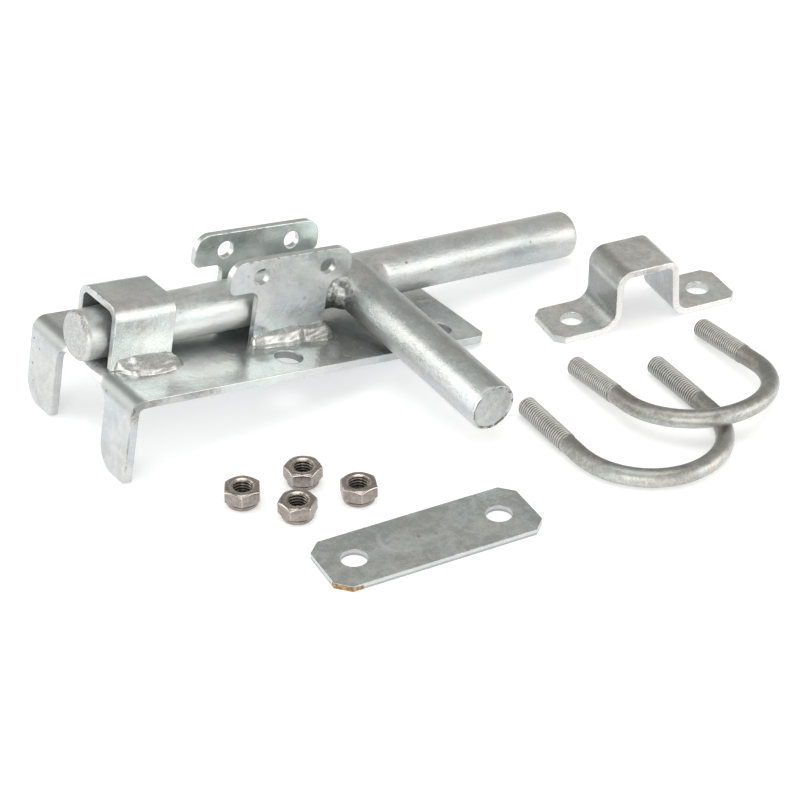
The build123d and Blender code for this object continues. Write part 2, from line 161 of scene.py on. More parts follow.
# ----------------------------------------------------------------- material building
class Tree:
    def __init__(self, name):
        self.mat = bpy.data.materials.new(name)
        self.mat.use_nodes = True
        self.t = self.mat.node_tree
        self.n = self.t.nodes
        self.n.clear()
        self.out = self.n.new("ShaderNodeOutputMaterial")
        self.bsdf = self.n.new("ShaderNodeBsdfPrincipled")
        self.t.links.new(self.bsdf.outputs["BSDF"], self.out.inputs["Surface"])
        tc = self.n.new("ShaderNodeTexCoord")
        mp = self.n.new("ShaderNodeMapping")
        mp.inputs["Scale"].default_value = (1000, 1000, 1000)
        self.t.links.new(tc.outputs["Object"], mp.inputs["Vector"])
        self.mm = mp.outputs["Vector"]          # the row frame, in mm
        geo = self.n.new("ShaderNodeNewGeometry")
        self.normal = geo.outputs["Normal"]

    def link(self, a, b):
        self.t.links.new(a, b)

    def put(self, sock, v):
        if hasattr(v, "links") or isinstance(v, bpy.types.NodeSocket):
            self.link(v, sock)
        else:
            sock.default_value = v

    def noise(self, scale, detail=3.0, rough=0.55, dist=0.0, vec=None, seed=None, color=False):
        nd = self.n.new("ShaderNodeTexNoise")
        nd.inputs["Scale"].default_value = scale
        nd.inputs["Detail"].default_value = detail
        nd.inputs["Roughness"].default_value = rough
        nd.inputs["Distortion"].default_value = dist
        v = vec or self.mm
        if seed is not None:
            v = self.vadd(v, (seed * 31.7, -seed * 17.1, seed * 7.9))
        self.link(v, nd.inputs["Vector"])
        return nd.outputs["Color" if color else "Fac"]

    def voronoi(self, scale, feature="F1", vec=None, rand=1.0, smoothness=None, out="Distance"):
        nd = self.n.new("ShaderNodeTexVoronoi")
        nd.feature = feature
        nd.inputs["Scale"].default_value = scale
        nd.inputs["Randomness"].default_value = rand
        if smoothness is not None and "Smoothness" in nd.inputs:
            nd.inputs["Smoothness"].default_value = smoothness
        self.link(vec or self.mm, nd.inputs["Vector"])
        return nd.outputs[out]

    def math(self, op, a, b=0.0, c=0.0, clamp=False):
        nd = self.n.new("ShaderNodeMath")
        nd.operation = op
        nd.use_clamp = clamp
        self.put(nd.inputs[0], a)
        self.put(nd.inputs[1], b)
        self.put(nd.inputs[2], c)
        return nd.outputs[0]

    def vmath(self, op, a, b=(0, 0, 0), out=0):
        nd = self.n.new("ShaderNodeVectorMath")
        nd.operation = op
        self.put(nd.inputs[0], a)
        self.put(nd.inputs[1], b)
        return nd.outputs[out]

    def vadd(self, a, b):
        return self.vmath("ADD", a, b)

    def ramp(self, v, lo, hi, a=0.0, b=1.0, kind="SMOOTHSTEP"):
        nd = self.n.new("ShaderNodeMapRange")
        nd.interpolation_type = kind
        nd.clamp = True
        self.put(nd.inputs["Value"], v)
        nd.inputs["From Min"].default_value = lo
        nd.inputs["From Max"].default_value = hi
        nd.inputs["To Min"].default_value = a
        nd.inputs["To Max"].default_value = b
        return nd.outputs["Result"]

    def mix(self, f, a, b, blend="MIX"):
        nd = self.n.new("ShaderNodeMix")
        nd.data_type = "RGBA"
        nd.blend_type = blend
        nd.clamp_factor = True
        self.put(nd.inputs["Factor"], f)
        self.put(nd.inputs[6], a if not isinstance(a, tuple) else (*a, 1.0) if len(a) == 3 else a)
        self.put(nd.inputs[7], b if not isinstance(b, tuple) else (*b, 1.0) if len(b) == 3 else b)
        return nd.outputs[2]

    def bump(self, height, distance, strength=1.0, normal=None):
        nd = self.n.new("ShaderNodeBump")
        nd.inputs["Strength"].default_value = strength
        nd.inputs["Distance"].default_value = distance
        self.put(nd.inputs["Height"], height)
        if normal is not None:
            self.link(normal, nd.inputs["Normal"])
        return nd.outputs["Normal"]

    def sep(self, v):
        nd = self.n.new("ShaderNodeSeparateXYZ")
        self.link(v, nd.inputs[0])
        return nd.outputs

    def dot(self, v, d):
        return self.vmath("DOT_PRODUCT", v, tuple(d), out=1)

    def spot(self, p, r, soft=0.5, wobble=0.0, wscale=0.4, vec=None):
        """1 inside a ball of radius r mm round p (mm), 0 outside, with a ragged edge."""
        v = vec or self.mm
        if wobble:
            w = self.vmath("SCALE", self.vmath("SUBTRACT", self.noise(wscale, 2.0, color=True), (0.5, 0.5, 0.5)))
            w.node.inputs["Scale"].default_value = wobble * 2
            v = self.vadd(v, w)
        d = self.vmath("DISTANCE", v, tuple(p), out=1)
        return self.ramp(d, r * (1 - soft), r, 1.0, 0.0)

    def segment(self, p, q, r, soft=0.5, wobble=0.0, wscale=0.5):
        """1 near the line from p to q (mm), 0 further off than r."""
        v = self.mm
        if wobble:
            w = self.vmath("SCALE", self.vmath("SUBTRACT", self.noise(wscale, 2.0, color=True), (0.5, 0.5, 0.5)))
            w.node.inputs["Scale"].default_value = wobble * 2
            v = self.vadd(v, w)
        p, q = Vector(p), Vector(q)
        d = q - p
        rel = self.vmath("SUBTRACT", v, tuple(p))
        t = self.math("DIVIDE", self.dot(rel, d), d.length_squared, clamp=True)
        foot = self.n.new("ShaderNodeVectorMath")
        foot.operation = "SCALE"
        foot.inputs[0].default_value = tuple(d)
        self.link(t, foot.inputs["Scale"])
        off = self.vmath("SUBTRACT", rel, foot.outputs[0])
        dist = self.vmath("LENGTH", off, out=1)
        return self.ramp(dist, r * (1 - soft), r, 1.0, 0.0)


def galvanised(name, dark=(0.490, 0.503, 0.502), light=(0.632, 0.645, 0.640), rough=(0.20, 0.34), waves=1.0, grain=1.0,
               speck=1.0, seed=1.0, stretch=None, marks_and_painted_light=None, cloud=1.0, fleck=1.0, metal=0.80, crystal=0.0, tint=(0.86, 0.97, 1.0)):
    """Dipped zinc: fine grain over faint clouds, shallow waves, a pebbled skin, and sparse dark ash specks."""
    T = Tree(name)
    base = T.vadd(T.mm, (seed * 53.0, seed * 11.0, -seed * 29.0))
    if stretch is not None:
        axis, k = stretch                     # drawn out along an axis, as on bar
        along = T.dot(T.mm, axis)
        sc = T.n.new("ShaderNodeVectorMath")
        sc.operation = "SCALE"
        sc.inputs[0].default_value = tuple(axis)
        T.link(T.math("MULTIPLY", along, k - 1.0), sc.inputs["Scale"])
        base = T.vadd(base, sc.outputs[0])
    broad = T.noise(0.06, 3.0, 0.5, 0.6, base)
    mid = T.noise(0.28, 4.0, 0.6, 0.4, base, seed=2)
    small = T.noise(1.1, 4.0, 0.65, 0.2, base, seed=3)
    fine = T.noise(2.6, 2.0, 0.6, 0.0, base, seed=4)
    tone = T.math("ADD", T.math("MULTIPLY", broad, 0.34 * cloud), T.math("MULTIPLY", mid, 0.30 * cloud))
    tone = T.math("ADD", tone, T.math("MULTIPLY", small, 0.20 * fleck))
    tone = T.math("ADD", tone, T.math("MULTIPLY", fine, 0.12 * fleck))
    mean = 0.5 * (0.64 * cloud + 0.32 * fleck)
    fac = T.ramp(tone, mean - 0.12, mean + 0.12)
    col = T.mix(fac, dark, light)
    cool = T.ramp(T.noise(0.07, 2.0, 0.5, 0.3, base, seed=6), 0.42, 0.66)
    col = T.mix(T.math("MULTIPLY", cool, 0.5), col, tint, "MULTIPLY")
    pit = T.ramp(T.noise(1.25, 2.0, 0.5, 0.0, base, seed=7), 0.69, 0.76)
    pit = T.math("MULTIPLY", pit, T.ramp(T.noise(0.16, 2.0, 0.5, 0.0, base, seed=8), 0.46, 0.60))
    col = T.mix(T.math("MULTIPLY", pit, 0.75 * speck), col, (0.15, 0.147, 0.135))
    r = T.ramp(T.math("ADD", T.math("MULTIPLY", mid, 0.5), T.math("MULTIPLY", small, 0.5)), 0.36, 0.64, rough[0], rough[1])
    r = T.math("ADD", r, T.math("MULTIPLY", pit, 0.2))
    h = T.math("MULTIPLY", T.noise(0.12, 2.0, 0.5, 0.0, base, seed=9), 0.22 * waves)
    h = T.math("ADD", h, T.math("MULTIPLY", T.noise(0.42, 2.0, 0.5, 0.0, base, seed=10), 0.055 * waves))
    h = T.math("ADD", h, T.math("MULTIPLY", small, 0.022 * grain))
    h = T.math("ADD", h, T.math("MULTIPLY", fine, 0.010 * grain))
    if crystal:
        h = T.math("ADD", h, T.math("MULTIPLY", T.noise(0.50, 3.0, 0.72, 0.3, base, seed=14), crystal))
    h = T.math("SUBTRACT", h, T.math("MULTIPLY", pit, 0.02))
    T.color, T.rough, T.height = col, r, h
    if marks_and_painted_light:
        marks_and_painted_light(T)
    T.link(T.color, T.bsdf.inputs["Base Color"])
    T.link(T.rough, T.bsdf.inputs["Roughness"])
    T.bsdf.inputs["Metallic"].default_value = metal
    T.link(T.bump(T.height, 0.001), T.bsdf.inputs["Normal"])
    return T.mat


# mixes a colour and a roughness in under a mask and can sink it a little; it lays real dirt and also painted shade
def dirt_and_painted_shade(T, mask, colour, amount=1.0, rough=0.75, depth=0.0):
    m = T.math("MULTIPLY", mask, amount, clamp=True)
    T.color = T.mix(m, T.color, colour)
    rr = T.n.new("ShaderNodeMix")
    rr.data_type = "FLOAT"
    T.put(rr.inputs["Factor"], m)
    T.put(rr.inputs[2], T.rough)
    rr.inputs[3].default_value = rough
    T.rough = rr.outputs[0]
    if depth:
        T.height = T.math("SUBTRACT", T.height, T.math("MULTIPLY", mask, depth))


# ----------------------------------------------------------------- marks, painted light and painted shade at their own places
def mm(v):
    return tuple(c * 1000.0 for c in v)


def axial(T, origin, d):
    """Distance along an axis from a point on it, and distance from that axis, in mm."""
    rel = T.vmath("SUBTRACT", T.mm, mm(origin))
    u = T.dot(rel, d)
    rad = T.math("SQRT", T.math("MAXIMUM", T.math("SUBTRACT", T.dot2(rel), T.math("MULTIPLY", u, u)), 0.0))
    return u, rad


def gate(T, scale, lo, hi, seed):
    return T.ramp(T.noise(scale, 4.0, 0.65, 0.0, None, seed=seed), lo, hi)


def height_of(T):
    return T.sep(T.mm)[2]


def plate_marks_and_painted_light(T):
    # painted shade: the walls of the four holes darkened below the top face
    for hx in (76.6, 149.9):
        for hy in (-25.9, 25.9):
            u, rad = axial(T, at(hx, hy, 0), PZ)
            m = T.math("MULTIPLY", T.ramp(rad, 5.50, 5.64, 1.0, 0.0), T.ramp(u, -0.8, -0.3, 1.0, 0.0))
            dirt_and_painted_shade(T, m, (0.23, 0.24, 0.235), 0.8, 0.5)
    # painted shade: a dark line round the front of the rim of the seen middle hole
    u, rad = axial(T, at(76.6, -25.9, 0), PZ)
    front = T.ramp(T.dot(T.vmath("SUBTRACT", T.mm, mm(at(76.6, -25.9, 0))), YAXIS), -1.5, 0.5, 1.0, 0.0)
    ring = T.math("MULTIPLY", T.ramp(rad, 5.85, 6.15, 1.0, 0.0), T.math("MULTIPLY", front, T.ramp(u, -0.6, -0.3)))
    T.color = T.mix(ring, T.color, (0.34, 0.35, 0.355), "MULTIPLY")
    # painted shade darkens the bends against their bright reflection, and they are rougher there; a painted highlight
    # lightens the top along the front
    for y0, y1 in ((-40.0, -17.0), (17.0, 40.0)):
        bend = T.segment(mm(at(1.6, y0, -1.4)), mm(at(1.6, y1, -1.4)), 5.2, 0.55, 0.8, 0.3)
        dirt_and_painted_shade(T, bend, (0.31, 0.335, 0.335), 0.85, 0.42)
    painted_sheen = T.segment(mm(at(32, -31.0, 0)), mm(at(66, -32.0, 0)), 13.0, 0.8, 1.5, 0.2)
    T.color = T.mix(painted_sheen, T.color, (1.26, 1.28, 1.27), "MULTIPLY")
    # painted shade and painted reflection of the bolt's dark underside: the plate darkened under the bolt near its far
    # end, between the guide and the ears, and past the ears
    far = T.segment(mm(at(142, -2.0, 0)), mm(at(159, -3.0, 0)), 9.0, 0.9, 2.0, 0.3)
    dirt_and_painted_shade(T, T.math("MULTIPLY", far, gate(T, 0.25, 0.30, 0.55, 27)), (0.27, 0.305, 0.30), 0.8, 0.30)
    under = T.segment(mm(at(36, -7.0, 0)), mm(at(72, -7.0, 0)), 9.5, 0.8, 1.0, 0.2)
    dirt_and_painted_shade(T, under, (0.28, 0.31, 0.315), 0.65, 0.26)
    under = T.segment(mm(at(112, -10.0, 0)), mm(at(140, 6.0, 0)), 9.0, 0.8, 1.5, 0.2)
    dirt_and_painted_shade(T, under, (0.29, 0.32, 0.325), 0.6, 0.26)
    # grey flux stain in front of the ears
    stain = T.segment(mm(at(57, -12, 0)), mm(at(66, -24, 0)), 5.0, 0.9, 3.0, 0.35)
    dirt_and_painted_shade(T, stain, (0.22, 0.23, 0.24), 0.55, 0.4)
    # a smoother patch at the far end under the bolt, darkened and made bluer as painted shade, and brown flux along the
    # plate's rear right edge
    patch = T.spot(mm(at(147, 4, 0)), 9.0, 0.8, 2.0, 0.2)
    dirt_and_painted_shade(T, patch, (0.36, 0.41, 0.43), 0.45, 0.22)
    edge = T.segment(mm(at(140, 37.5, 0)), mm(at(165.9, 12, -0.3)), 1.6, 0.6, 1.2, 0.6)
    dirt_and_painted_shade(T, T.math("MULTIPLY", edge, gate(T, 0.6, 0.44, 0.60, 23)), (0.20, 0.17, 0.14), 0.75, 0.6, 0.03)
    edge = T.segment(mm(at(165.9, -25, -0.2)), mm(at(165.9, 34, -0.2)), 0.9, 0.6, 0.8, 0.7)
    dirt_and_painted_shade(T, T.math("MULTIPLY", edge, gate(T, 0.8, 0.46, 0.60, 24)), (0.22, 0.185, 0.15), 0.75, 0.6, 0.03)
    corner = T.spot(mm(at(165.4, -36.5, -1.0)), 4.5, 0.8, 1.5, 0.5)
    dirt_and_painted_shade(T, T.math("MULTIPLY", corner, gate(T, 0.5, 0.38, 0.52, 26)), (0.58, 0.47, 0.30), 0.65, 0.5)
    dirt_and_painted_shade(T, T.spot(mm(at(165.8, -36.4, -0.3)), 1.1, 0.5, 0.4, 0.9), (0.12, 0.10, 0.07), 0.9, 0.7, 0.02)
    # thin dark ash lines on the arris of the front tab, a nick at the corner of the notch
    edge = T.segment(mm(at(0.2, -37.3, -4)), mm(at(0.2, -37.3, -29)), 0.55, 0.7, 0.25, 0.5)
    dirt_and_painted_shade(T, T.math("MULTIPLY", edge, gate(T, 0.16, 0.36, 0.62, 21)), (0.26, 0.23, 0.19), 0.75, 0.8, 0.03)
    # painted light: the plate's front side face lightened
    side = T.segment(mm(at(8, -37.6, -2)), mm(at(110, -37.6, -2)), 2.6, 0.3)
    T.color = T.mix(T.math("MULTIPLY", side, 0.45), T.color, (0.72, 0.74, 0.735))
    edge = T.segment(mm(at(1.6, -37.3, -1.4)), mm(at(0.4, -37.4, -6.5)), 0.9, 0.6, 0.6, 0.9)
    dirt_and_painted_shade(T, T.math("MULTIPLY", edge, gate(T, 0.7, 0.42, 0.56, 22)), (0.17, 0.145, 0.11), 0.85, 0.8, 0.05)
    dirt_and_painted_shade(T, T.spot(mm(at(1.0, -18.7, -4.6)), 1.3, 0.6, 0.8, 0.9), (0.13, 0.12, 0.10), 0.9, 0.8, 0.05)
    for x, y, z, r in ((0.0, 35.0, -8.5, 0.7), (0.0, 34.6, -19, 0.8), (0.0, 30.5, -11, 0.6), (0.0, 33.0, -26.0, 0.6)):
        dirt_and_painted_shade(T, T.spot(mm(at(x, y, z)), r, 0.6, 0.5, 1.2), (0.20, 0.17, 0.15), 0.7, 0.7, 0.02)


def strap_marks_and_painted_light(T):
    # painted light: the guide's front face lightened
    front = T.ramp(T.dot(T.vmath("SUBTRACT", T.mm, mm(at(0, 0, 0))), (0, -1, 0)), 13.0, 13.4)
    T.color = T.mix(front, T.color, (1.20, 1.21, 1.20), "MULTIPLY")
    # worn brown line on the arris of the guide, small brown mark on its top at the back
    a = T.segment(mm(at(4.7, 9.5, 25.8)), mm(at(4.7, -9.0, 25.6)), 0.7, 0.5, 0.6, 0.8)
    dirt_and_painted_shade(T, T.math("MULTIPLY", a, gate(T, 0.6, 0.48, 0.60, 5)), (0.29, 0.25, 0.20), 0.7, 0.6, 0.02)
    a = T.segment(mm(at(4.7, -9.0, 25.4)), mm(at(4.7, -13.4, 14.0)), 0.6, 0.5, 0.6, 0.8)
    dirt_and_painted_shade(T, T.math("MULTIPLY", a, gate(T, 0.6, 0.50, 0.60, 6)), (0.26, 0.23, 0.20), 0.6, 0.6, 0.02)
    a = T.segment(mm(at(30.8, 3.0, 25.8)), mm(at(30.8, 11.0, 25.4)), 1.2, 0.6, 1.0, 0.8)
    dirt_and_painted_shade(T, T.math("MULTIPLY", a, gate(T, 0.6, 0.42, 0.58, 7)), (0.30, 0.24, 0.17), 0.7, 0.7, 0.03)


def ear_marks_and_painted_light(T):
    # painted light: the front face of the rear ear lightened
    y = T.dot(T.vmath("SUBTRACT", T.mm, mm(at(0, 0, 0))), (0, 1, 0))
    rear = T.math("MULTIPLY", T.ramp(y, 10.5, 11.2), T.ramp(y, 12.1, 12.8, 1.0, 0.0))
    T.color = T.mix(rear, T.color, (1.24, 1.31, 1.30), "MULTIPLY")
    # ash lines and nicks along the upper edges of the ears
    a = T.segment(mm(at(60, -13.6, 36.7)), mm(at(106, -13.6, 36.7)), 0.6, 0.5, 0.4, 0.7)
    dirt_and_painted_shade(T, T.math("MULTIPLY", a, gate(T, 0.5, 0.54, 0.62, 8)), (0.26, 0.24, 0.21), 0.7, 0.6, 0.02)
    a = T.segment(mm(at(60, 12.0, 36.7)), mm(at(106, 12.0, 36.7)), 0.6, 0.5, 0.4, 0.7)
    dirt_and_painted_shade(T, T.math("MULTIPLY", a, gate(T, 0.5, 0.54, 0.62, 9)), (0.26, 0.24, 0.21), 0.7, 0.6, 0.02)
    for x, z, r in ((92.0, 12.0, 0.9), (96.5, 21.0, 0.7), (90.0, 17.5, 1.2), (61.5, 31.0, 0.7)):
        dirt_and_painted_shade(T, T.spot(mm(at(x, -13.7, z)), r, 0.7, 0.8, 1.0), (0.36, 0.34, 0.31), 0.6, 0.5, 0.02)


def bar_marks_and_painted_light(T):
    P0 = BEND - BU * (238.8 * MM)
    u0, r0 = axial(T, P0, BU)
    # painted light: the lower half of the bolt lightened from 18 to 100 mm along it
    low = T.ramp(T.dot(T.vmath("SUBTRACT", T.mm, mm(P0)), BW), -1.0, 3.5, 1.0, 0.0)
    zone = T.math("MULTIPLY", T.math("MULTIPLY", T.ramp(u0, 18.0, 26.0), T.ramp(u0, 88.0, 100.0, 1.0, 0.0)), low)
    T.color = T.mix(T.math("MULTIPLY", zone, 0.9), T.color, (0.90, 0.92, 0.915))
    # painted shade: the bolt darkened between the ears, from 92 to 121 mm along it
    T.color = T.mix(T.math("MULTIPLY", T.ramp(u0, 92.0, 100.0), T.ramp(u0, 117.0, 121.0, 1.0, 0.0)), T.color, (0.52, 0.54, 0.54), "MULTIPLY")
    # painted highlight beside the root of the handle
    out = (BW * 0.57 - YAXIS * 0.82).normalized() * 9.9 * MM
    glow = T.segment(mm(P0 + BU * 129.0 * MM + out), mm(P0 + BU * 136.0 * MM + out), 4.4, 0.7, 1.0, 0.2)
    T.color = T.mix(glow, T.color, (1.50, 1.51, 1.51), "MULTIPLY")
    # cut end of the bolt: speckled face, brown ragged chamfer
    P = BEND - BU * (238.8 * MM)
    u, rad = axial(T, P, BU)
    face = T.ramp(u, 0.12, 0.30, 1.0, 0.0)
    dirt_and_painted_shade(T, T.math("MULTIPLY", face, T.ramp(T.noise(1.0, 3.0, 0.7, 0.0, None, seed=33), 0.40, 0.62)), (0.33, 0.33, 0.30), 0.55, 0.5, 0.02)
    band = T.math("MULTIPLY", T.ramp(u, 0.05, 0.3), T.ramp(u, 1.3, 2.0, 1.0, 0.0))
    up = T.ramp(T.dot(T.vmath("SUBTRACT", T.mm, mm(P)), (BW * 0.97 - YAXIS * 0.2).normalized()), 3.5, 8.5)
    g = T.ramp(T.noise(1.7, 3.0, 0.6, 0.0, None, seed=31), 0.34, 0.66)
    dirt_and_painted_shade(T, T.math("MULTIPLY", T.math("MULTIPLY", band, up), g), (0.23, 0.20, 0.165), 0.8, 0.6, 0.02)
    for du, a, r in ((190.0, -0.62, 0.9), (160.0, 0.2, 0.7), (212.0, 0.5, 0.7), (148.0, 0.72, 0.9)):
        q = P + BU * du * MM + (BW * math.sin(a) - YAXIS * math.cos(a)) * 9.9 * MM
        dirt_and_painted_shade(T, T.spot(mm(q), r, 0.6, 0.5, 1.2), (0.24, 0.20, 0.17), 0.7, 0.7, 0.02)


def handle_marks_and_painted_light(T):
    rel = T.vmath("SUBTRACT", T.mm, mm(HROOT))
    along = T.dot(rel, HD)
    span = T.math("SQRT", T.math("MAXIMUM", T.math("SUBTRACT", T.dot2(rel), T.math("MULTIPLY", along, along)), 1.0))
    side = T.ramp(span, 8.9, 9.4)
    jag = T.math("MULTIPLY", T.math("SUBTRACT", T.noise(0.35, 3.0, 0.6, 0.0, None, seed=46), 0.5), 0.14)
    # painted shade: the crest of the handle darkened
    c = T.math("ADD", T.math("DIVIDE", T.dot(rel, HN * 0.956 - HB * 0.292), span), jag)
    T.color = T.mix(T.math("MULTIPLY", T.ramp(c, 0.80, 0.94), side), T.color, (0.70, 0.705, 0.70), "MULTIPLY")
    # painted highlight: the upper left flank lightened from 10 to 34 mm along the handle, and a little smoother there
    c = T.math("ADD", T.math("DIVIDE", T.dot(rel, HN * 0.454 - HB * 0.891), span), jag)
    band = T.math("MULTIPLY", T.math("MULTIPLY", T.ramp(c, 0.86, 0.965), T.ramp(along, 10.0, 34.0)), side)
    T.color = T.mix(band, T.color, (1.27, 1.28, 1.28), "MULTIPLY")
    T.rough = T.math("SUBTRACT", T.rough, T.math("MULTIPLY", band, 0.06))
    P = HROOT + HD * 98.0 * MM
    u, rad = axial(T, P, HD)
    face = T.math("MULTIPLY", T.ramp(u, -0.95, -0.75), T.ramp(rad, 8.9, 8.5, 0.0, 1.0))
    dirt_and_painted_shade(T, T.math("MULTIPLY", face, T.ramp(T.noise(0.5, 3.0, 0.6, 0.0, None, seed=43), 0.36, 0.70)), (0.38, 0.40, 0.40), 0.45, 0.42, 0.01)
    ring = T.math("MULTIPLY", T.ramp(T.math("ABSOLUTE", T.math("SUBTRACT", rad, 8.75)), 0.25, 0.75, 1.0, 0.0), T.ramp(u, -1.3, -0.8))
    g = T.ramp(T.noise(0.28, 5.0, 0.75, 0.0, None, seed=41), 0.49, 0.57)
    dirt_and_painted_shade(T, T.math("MULTIPLY", ring, g), (0.17, 0.145, 0.115), 0.9, 0.75, 0.04)
    t = T.spot(mm(HROOT + HD * 14.0 * MM - HB * 8.5 * MM + HN * 2.0 * MM), 7.5, 0.8, 2.5, 0.5)
    dirt_and_painted_shade(T, T.math("MULTIPLY", t, gate(T, 0.55, 0.40, 0.60, 45)), (0.19, 0.21, 0.205), 0.75, 0.5, 0.02)
    t = T.spot(mm(HROOT + HD * 13.0 * MM + HN * 9.6 * MM), 6.0, 0.9, 2.0, 0.5)
    dirt_and_painted_shade(T, T.math("MULTIPLY", t, gate(T, 0.7, 0.48, 0.62, 42)), (0.50, 0.43, 0.38), 0.5, 0.5)


STRAP_C = Vector(mount("strap_holes")["pos_m"])
STRAP_A = math.radians(-8.81)


PU = Vector((0.0, 0.0, 1.0))


def strap_at(x, y, z):
    c, s = math.cos(STRAP_A), math.sin(STRAP_A)
    return Vector((STRAP_C.x + (x * c - y * s) * MM, STRAP_C.y + (x * s + y * c) * MM, z * MM))


def backing_marks_and_painted_light(T):
    # painted shade: the walls of the two holes darkened below the top face
    for hx in (-29.35, 29.35):
        u, rad = axial(T, strap_at(hx, 0, 2.5), PU)
        m = T.math("MULTIPLY", T.ramp(rad, 5.03, 5.15, 1.0, 0.0), T.ramp(height_of(T), 2.1, 2.4, 1.0, 0.0))
        dirt_and_painted_shade(T, m, (0.27, 0.275, 0.29), 0.8, 0.4)
    # painted light: the side faces lightened; towards the bottom they are darker and bluer
    rim = T.ramp(height_of(T), 2.15, 2.4, 1.0, 0.0)
    T.color = T.mix(T.math("MULTIPLY", rim, 0.6), T.color, (0.70, 0.695, 0.685))
    low = T.ramp(height_of(T), 0.8, 1.3, 1.0, 0.0)
    T.color = T.mix(low, T.color, (0.66, 0.67, 0.72), "MULTIPLY")
    # rust left on the front left chamfer and a little of the edge beside it; two dark pits on the face
    a = T.segment(mm(strap_at(-42.0, -9.8, 1.1)), mm(strap_at(-36.9, -14.7, 1.1)), 1.9, 0.25, 0.3, 0.8)
    b = T.segment(mm(strap_at(-36.9, -14.7, 1.1)), mm(strap_at(-33.5, -14.7, 0.9)), 1.3, 0.6, 0.6, 0.8)
    m = T.math("MULTIPLY", T.math("MAXIMUM", a, b), T.ramp(height_of(T), 2.15, 2.42, 1.0, 0.0))
    g = T.ramp(T.noise(0.9, 4.0, 0.65, 0.0, None, seed=12), 0.40, 0.64)
    rust = T.mix(g, (0.22, 0.12, 0.045), (0.56, 0.37, 0.17))
    T.color = T.mix(T.math("MULTIPLY", m, 0.9), T.color, rust)
    rr = T.n.new("ShaderNodeMix")
    rr.data_type = "FLOAT"
    T.put(rr.inputs["Factor"], m)
    T.put(rr.inputs[2], T.rough)
    rr.inputs[3].default_value = 0.6
    T.rough = rr.outputs[0]
    for x, y, r in ((-3.0, 1.0, 1.1), (3.5, 0.0, 0.8), (16.0, 5.5, 0.7), (27.0, 9.0, 0.7), (9.0, 7.0, 0.6)):
        dirt_and_painted_shade(T, T.spot(mm(strap_at(x, y, 2.5)), r, 0.7, 0.8, 1.0), (0.22, 0.22, 0.20), 0.75, 0.6, 0.03)
    # a faint curved ridge of zinc on the left half
    rel = T.vmath("SUBTRACT", T.mm, mm(strap_at(-9.0, 3.5, 2.5)))
    d = T.vmath("LENGTH", rel, out=1)
    side = T.ramp(T.dot(rel, (-1, -0.5, 0)), 0.0, 4.0)
    ring = T.math("MULTIPLY", T.ramp(T.math("ABSOLUTE", T.math("SUBTRACT", d, 8.0)), 0.4, 1.3, 1.0, 0.0), side)
    T.color = T.mix(T.math("MULTIPLY", ring, 0.5), T.color, (0.62, 0.66, 0.66))
    T.height = T.math("ADD", T.height, T.math("MULTIPLY", ring, 0.05))


KM = mount("keeper_holes")
KEEP_C = Vector(KM["pos_m"])
KEEP_A = math.radians(-11.6)
KEEP_X = Vector((math.cos(KEEP_A), math.sin(KEEP_A), 0.0))
KEEP_Y = Vector((-math.sin(KEEP_A), math.cos(KEEP_A), 0.0))


def keeper_marks_and_painted_light(T):
    z = height_of(T)
    rel = T.vmath("SUBTRACT", T.mm, mm(KEEP_C))
    kx, ky = T.dot(rel, KEEP_X), T.dot(rel, KEEP_Y)
    # painted shade: the left wall darkened between 3 and 21 mm up
    left = T.ramp(kx, -2.0, 2.0, 1.0, 0.0)
    wall = T.math("MULTIPLY", T.math("MULTIPLY", T.ramp(z, 3.0, 7.0), T.ramp(z, 18.0, 21.5, 1.0, 0.0)), left)
    T.color = T.mix(T.math("MULTIPLY", wall, 0.86), T.color, (0.27, 0.285, 0.285))
    # painted shade: the inner faces darkened
    inner = T.math("MULTIPLY", T.ramp(kx, 4.0, 6.0), T.ramp(z, 3.0, 5.0))
    T.color = T.mix(T.math("MULTIPLY", inner, T.ramp(z, 24.0, 25.0, 1.0, 0.0)), T.color, (0.80, 0.795, 0.815), "MULTIPLY")
    # dull over the left bend; painted light on the sheared front edge
    bend = T.math("MULTIPLY", T.ramp(kx, -16.5, -14.0), T.math("MULTIPLY", T.ramp(kx, -11.5, -7.5, 1.0, 0.0), T.ramp(z, 19.5, 23.5)))
    bend = T.math("MULTIPLY", bend, T.ramp(T.noise(0.30, 3.0, 0.6, 0.3, None, seed=52), 0.20, 0.46))
    dirt_and_painted_shade(T, bend, (0.19, 0.20, 0.185), 0.75, 0.46)
    front = T.ramp(ky, -12.35, -11.95, 1.0, 0.0)
    T.color = T.mix(T.math("MULTIPLY", front, 0.85), T.color, (0.85, 0.84, 0.82))
    g = T.ramp(T.noise(0.35, 4.0, 0.6, 0.3, None, seed=51), 0.44, 0.64)
    top = T.ramp(height_of(T), 21.0, 24.0)
    dirt_and_painted_shade(T, T.math("MULTIPLY", g, top), (0.30, 0.31, 0.29), 0.35, 0.4)


